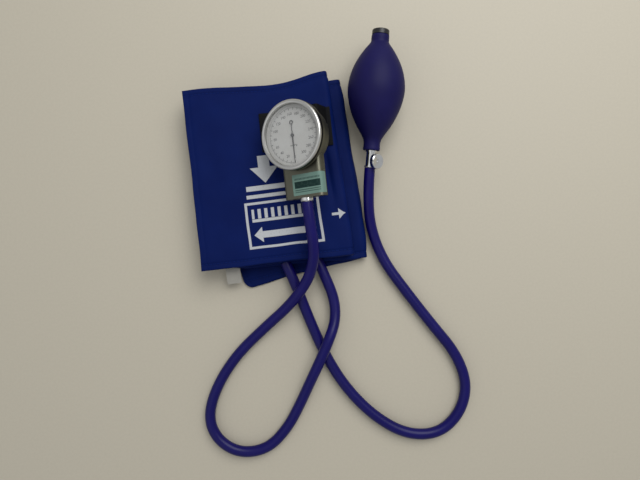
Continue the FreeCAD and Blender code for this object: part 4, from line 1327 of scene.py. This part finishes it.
@dataclass
class Bulb:
    """The squeeze bulb, turned about its own axis from the end of its neck."""

    middle: Point = (80.5, 63.0, 22.4156)
    widest_at: float = 46.5
    turn: float = 4.2
    lift: float = 5.0
    outside: tuple[Place, ...] = (
        (4.25, 0.0), (6.3, 0.0), (6.75, 0.5), (6.75, 2.2), (6.45, 2.9), (6.45, 6.4), (6.75, 7.2), (6.95, 8.6),
        (8.4, 11.2), (10.6, 14.4), (13.5, 18.9), (17.3, 26.1), (20.6, 35.0), (22.3, 44.0), (22.3, 50.0),
        (20.6, 59.5), (16.9, 68.3), (12.0, 76.0), (8.9, 79.9), (7.4, 81.8), (6.9, 82.8), (6.85, 84.0),
        (6.9, 87.6), (6.5, 88.5), (4.25, 88.5),
    )
    inside: tuple[Place, ...] = (
        (4.25, 82.0), (14.7, 68.3), (20.1, 50.0), (20.1, 44.0), (15.1, 26.1), (4.25, 10.0),
    )
    spin_steps: int = 56
    merge_gap: float = 0.005
    sharp: float = 50.0

    def frame(self) -> Matrix:
        """Give the bulb's frame, with its Z along its axis from the end of its neck.

        Returns:
            The frame, in metres.
        """
        turn, lift = math.radians(self.turn), math.radians(self.lift)
        right = Vector((math.cos(turn), -math.sin(turn), 0.0))
        level = math.cos(lift)
        axis = Vector((math.sin(turn) * level, math.cos(turn) * level, math.sin(lift)))
        turned = Matrix((right, axis.cross(right), axis)).transposed().to_4x4()
        return Matrix.Translation((Vector(self.middle) - axis * self.widest_at) * MM) @ turned

    def build(self) -> bpy.types.Object:
        """Spin the bulb's wall and smooth it.

        Returns:
            The bulb.
        """
        wall = [*self.outside, *self.inside]
        edges = [(i, (i + 1) % len(wall)) for i in range(len(wall))]
        obj = mesh_object("bulb_skin", [(radius, 0.0, height) for radius, height in wall], edges=edges)
        turns = {"steps": self.spin_steps, "angle": math.tau, "center": (0, 0, 0), "axis": (0, 0, 1)}
        operate(obj, partial(bpy.ops.mesh.spin, **turns))
        seal(obj, self.merge_gap)
        finish_with(obj, "SUBSURF", levels=1, render_levels=1)
        settle(obj, self.frame())
        smooth(obj, self.sharp)
        return obj


@dataclass
class Dial:
    """The dial's printed scale, in the gauge's frame."""

    level: float = 18.7
    ink: float = 0.03
    top: int = 300
    sweep: float = 330.0
    zero: float = -90.0
    outer: float = 20.4
    mark_step: int = 2
    mark_size: Place = (1.0, 0.2)
    long_step: int = 10
    long_size: Place = (2.0, 0.34)
    figure_step: int = 20
    figure_size: float = 2.9
    figure_radius: float = 15.6
    figure_curve: int = 3
    unit: str = "mmHg"
    unit_size: float = 2.2
    unit_place: Place = (0.0, -7.2)

    def spot(self, reading: float, radius: float) -> Place:
        """Give the place of a reading at a radius, clockwise from straight down."""
        angle = self.heading(reading)
        return (radius * math.cos(angle), radius * math.sin(angle))

    def heading(self, reading: float) -> float:
        """Give the angle of a reading, in radians."""
        return math.radians(self.zero - self.sweep * reading / self.top)

    def raised(self, place: Place) -> Vector:
        """Give a place at the middle of the ink's height, in metres."""
        return Vector((*place, self.level + self.ink / 2)) * MM

    def mark(self, reading: int) -> bpy.types.Object:
        """Make one mark of the scale.

        Args:
            reading: The reading that it stands at.

        Returns:
            The mark.
        """
        length, width = self.mark_size if reading % self.long_step else self.long_size
        bpy.ops.mesh.primitive_cube_add(size=1)
        mark = bpy.context.object
        mark.scale = Vector((length, width, self.ink)) * MM
        mark.rotation_euler = (0, 0, self.heading(reading))
        mark.location = self.raised(self.spot(reading, self.outer - length / 2))
        return mark

    def words(self, text: str, place: Place, size: float) -> bpy.types.Object:
        """Make figures or a unit as a thin mesh.

        Args:
            text: The figures or the unit.
            place: The middle of the text.
            size: The height of the text.

        Returns:
            The text's mesh.
        """
        bpy.ops.object.text_add()
        obj = bpy.context.object
        obj.data.body = text
        obj.data.size = size * MM
        obj.data.align_x = "CENTER"
        obj.data.align_y = "CENTER"
        obj.data.extrude = self.ink / 2 * MM
        obj.data.resolution_u = self.figure_curve
        obj.location = self.raised(place)
        pick(obj)
        bpy.ops.object.convert(target="MESH")
        return bpy.context.object

    def build(self) -> bpy.types.Object:
        """Make the whole scale as one piece.

        Returns:
            The print.
        """
        pieces = [self.mark(reading) for reading in range(0, self.top + 1, self.mark_step)]
        for reading in range(0, self.top + 1, self.figure_step):
            pieces.append(self.words(str(reading), self.spot(reading, self.figure_radius), self.figure_size))
        pieces.append(self.words(self.unit, self.unit_place, self.unit_size))
        for piece in pieces:
            settle(piece)
        pick(*pieces)
        bpy.ops.object.join()
        obj = bpy.context.object
        obj.name = obj.data.name = "dial_print"
        settle(obj, GAUGE_FRAME)
        return obj


@dataclass
class Hose:
    """A rubber hose on a smooth line."""

    name: str
    points: tuple[Point, ...]
    length: float
    diameter: float = 8.5
    spline_order: int = 3
    spline_steps: int = 14
    ring_steps: int = 7

    def build(self) -> bpy.types.Object:
        """Make the hose.

        Returns:
            The hose's curve.
        """
        curve = bpy.data.curves.new(self.name, "CURVE")
        curve.dimensions = "3D"
        spline = curve.splines.new("NURBS")
        spline.points.add(len(self.points) - 1)
        for point, place in zip(spline.points, self.points):
            point.co = (*(Vector(place) * MM), 1.0)
        spline.order_u = self.spline_order
        spline.use_endpoint_u = True
        spline.resolution_u = self.spline_steps
        curve.bevel_depth = self.diameter / 2 * MM
        curve.bevel_resolution = self.ring_steps
        curve.use_fill_caps = True
        obj = bpy.data.objects.new(self.name, curve)
        bpy.context.collection.objects.link(obj)
        Vector(self.points[0]) * MM
        self.length * MM
        return obj


@dataclass(frozen=True)
class Lamp:
    """A soft square lamp: its place and size in metres, and its power in watts."""

    name: str
    place: Point
    size: float
    watts: float


@dataclass
class Studio:
    """The pale table, the soft light and the camera."""

    eye: Point = (36.9, -53.3, 430.0)
    lens: float = 29.5
    sensor: float = 36.0
    table: Plain = Plain("table_top", shade(183, 176, 159), 0.6, grain=0.5, unevenness=0.03)
    table_side: float = 3000.0
    table_drop: float = 0.2
    lamps: tuple[Lamp, ...] = (
        Lamp("key", (0.32, 0.5, 0.85), 0.8, 8.5), Lamp("fill", (-0.8, -0.5, 1.3), 1.6, 2.5),
    )
    lamp_aim: Point = (0.03, -0.05, 0.0)
    sky: Colour = (0.95, 0.97, 1.0)
    sky_strength: float = 0.45

    def lay_table(self) -> None:
        """Lay a plain table under the object."""
        bpy.ops.mesh.primitive_plane_add(size=self.table_side * MM, location=(0, 0, -self.table_drop * MM))
        table = bpy.context.object
        table.name = "table"
        self.table.dress(table)

    def light(self) -> None:
        """Hang one large lamp to the upper right and a weaker one to the left, under a pale sky."""
        for lamp in self.lamps:
            bpy.ops.object.light_add(type="AREA", location=lamp.place)
            obj = bpy.context.object
            obj.name = lamp.name
            obj.data.size = lamp.size
            obj.data.energy = lamp.watts
            beam = Vector(self.lamp_aim) - Vector(lamp.place)
            obj.rotation_euler = beam.to_track_quat("-Z", "Y").to_euler()
        world = bpy.data.worlds.new("sky")
        bpy.context.scene.world = world
        world.use_nodes = True
        sky = world.node_tree.nodes["Background"]
        sky.inputs["Color"].default_value = (*self.sky, 1.0)
        sky.inputs["Strength"].default_value = self.sky_strength
        bpy.context.scene.view_settings.view_transform = "Standard"

    def aim(self) -> None:
        """Set the camera straight above the table."""
        camera = bpy.data.cameras.new("camera")
        camera.lens = self.lens
        camera.sensor_width = self.sensor
        obj = bpy.data.objects.new("camera", camera)
        obj.location = Vector(self.eye) * MM
        bpy.context.collection.objects.link(obj)
        bpy.context.scene.camera = obj

    def build(self) -> None:
        """Make the whole studio."""
        self.lay_table()
        self.light()
        self.aim()


BULB_HOSE = Hose("bulb_hose_rubber", (
    (9.1, -71.2, 7.95), (17.1, -88.4, 7.95), (28.0, -117.0, 4.25), (41.0, -146.5, 4.25), (58.0, -173.5, 4.25),
    (81.0, -196.5, 4.25), (107.0, -211.0, 4.25), (133.0, -210.5, 4.25), (150.5, -194.0, 4.25),
    (156.5, -170.5, 4.25), (147.5, -145.5, 4.25), (127.2, -121.2, 4.25), (107.5, -96.0, 4.25),
    (88.0, -70.0, 4.25), (77.5, -43.0, 5.5), (74.7, -16.3, 15.5), (76.1, 3.6, 17.2),
), 442.9)
GAUGE_HOSE = Hose("gauge_hose_rubber", (
    (34.4, -68.2, 7.95), (42.4, -85.4, 7.95), (48.6, -101.5, 6.9), (49.4, -117.5, 8.6), (44.6, -131.5, 13.8),
    (36.4, -150.5, 14.2), (28.5, -168.5, 8.8), (20.5, -187.0, 4.9), (10.5, -206.0, 4.25),
    (-5.0, -222.5, 4.25), (-27.0, -226.5, 4.25), (-45.5, -216.5, 4.25), (-54.0, -198.0, 4.25),
    (-47.5, -173.0, 4.25), (-30.5, -146.0, 4.25), (-6.0, -122.5, 6.0), (12.5, -105.5, 13.2),
    (27.0, -86.0, 22.4), (32.6, -68.0, 31.0), (31.6, -53.0, 37.0), (28.8, -37.7, 39.7), (27.5, -24.8, 39.7),
), 438.6)

CLOTH = CuffCloth("cuff_cloth", shade(3, 19, 72), 0.6, 0.07, pale=shade(6, 28, 88))
TAPE = Webbing("strap_webbing", shade(8, 8, 9), 0.7, 0.12, thread=shade(18, 18, 20))
TAG = Webbing("tag_tape", shade(154, 151, 143), 0.8, 0.2, rib=0.8, thread=shade(170, 167, 158))
HOSE_RUBBER = Rubber("hose_rubber", shade(9, 3, 80), 0.34, 0.24, bloom=shade(19, 11, 98))
BULB_RUBBER = Rubber("bulb_rubber", shade(17, 14, 66), 0.54, 0.15, bloom=shade(26, 23, 82))
INK = Plain("dial_ink", shade(30, 30, 32), 0.6)

SOLID_FINISHES: dict[Finish, tuple[str, ...]] = {
    HOSE_RUBBER: ("bladder",),
    Sticker("seal_sticker", shade(106, 134, 124), 0.5, 0.2): ("seal_label",),
    BezelMetal("bezel_metal", shade(202, 201, 197), 0.3): ("bezel_ring",),
    Metal("case_metal", shade(110, 109, 96), 0.42, spread=0.1): ("gauge_case",),
    Plain("dial_white", shade(170, 169, 165), 0.5, unevenness=0.05): ("dial_plate", "dial_ring"),
    Rubber("gasket_rubber", shade(150, 149, 144), 0.5, bloom=shade(170, 169, 164)): ("lens_gasket",),
    Plain("pointer_black", shade(30, 30, 32), 0.45): ("pointer",),
    ClearGlass("lens_glass", (0.95, 0.97, 0.97), 0.06): ("lens",),
    Metal("valve_chrome", shade(226, 226, 224), 0.12): (
        "hose_inlet", "release_valve_body", "release_screw", "release_knob",
    ),
    Metal("movement_brass", shade(190, 160, 92), 0.3): (
        "pinion_arbor", "sector_gear", "sector_arbor", "rocker", "rocker_brackets", "hairspring_collet",
        "hairspring_stud", "lower_plate", "upper_plate", "plate_pillars", "capsule", "capsule_stem",
        "capsule_pad", "inlet_pipe", "check_seat",
    ),
    Metal("spring_steel", shade(186, 186, 190), 0.28): (
        "hairspring", "plate_screws", "pillar_screws", "back_clip", "clip_rivets",
    ),
    Metal("filter_mesh", shade(130, 130, 132), 0.45): ("intake_filter",),
    Plain("intake_black", shade(24, 24, 26), 0.35): ("intake_body", "intake_retainer"),
    Rubber("seal_rubber", shade(30, 30, 32), 0.5): ("screw_ring", "check_ball", "intake_disc"),
    Plain("closure_tape", shade(26, 26, 30), 0.85, grain=3.0): ("hook_strip", "loop_strip"),
}


def show(piece: bpy.types.Object, finish: Finish, slot: str, *nodes: str) -> None:
    """Dress a new piece and fix it to the object.

    Args:
        piece: The piece.
        finish: Its finish.
        slot: Not used.
        nodes: The solids that it stands for.
    """
    finish.dress(piece)
    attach(piece, MAIN_BODY)
    if nodes:
        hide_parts(*nodes)
    LOG.info("made %s", piece.name)


def main() -> None:
    """Load the solids, add the soft and printed pieces, and dress everything."""
    logging.basicConfig(level=logging.INFO, format="%(name)s: %(message)s")
    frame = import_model()
    Studio().build()
    for hose, node in ((BULB_HOSE, "bulb_hose"), (GAUGE_HOSE, "gauge_hose")):
        show(hose.build(), HOSE_RUBBER, "hose_rubber", node)
    cuff = Cuff().build()
    show(cuff, CLOTH, "cuff_cloth", "cuff_cover")
    strap = Strap()
    webbing = strap.build()
    strap.length * MM
    show(webbing, TAPE, "strap_webbing", "gauge_strap")
    tag = Tag()
    tag_cloth = tag.build()
    tag.length * MM
    show(tag_cloth, TAG, "tag_cloth", "care_tag")
    show(Bulb().build(), BULB_RUBBER, "bulb_rubber", "bulb")
    show(Dial().build(), INK, "pointer_black")
    for finish, nodes in SOLID_FINISHES.items():
        finish.dress(*[frame["nodes"][node] for node in nodes])


if __name__ == "__main__":
    main()
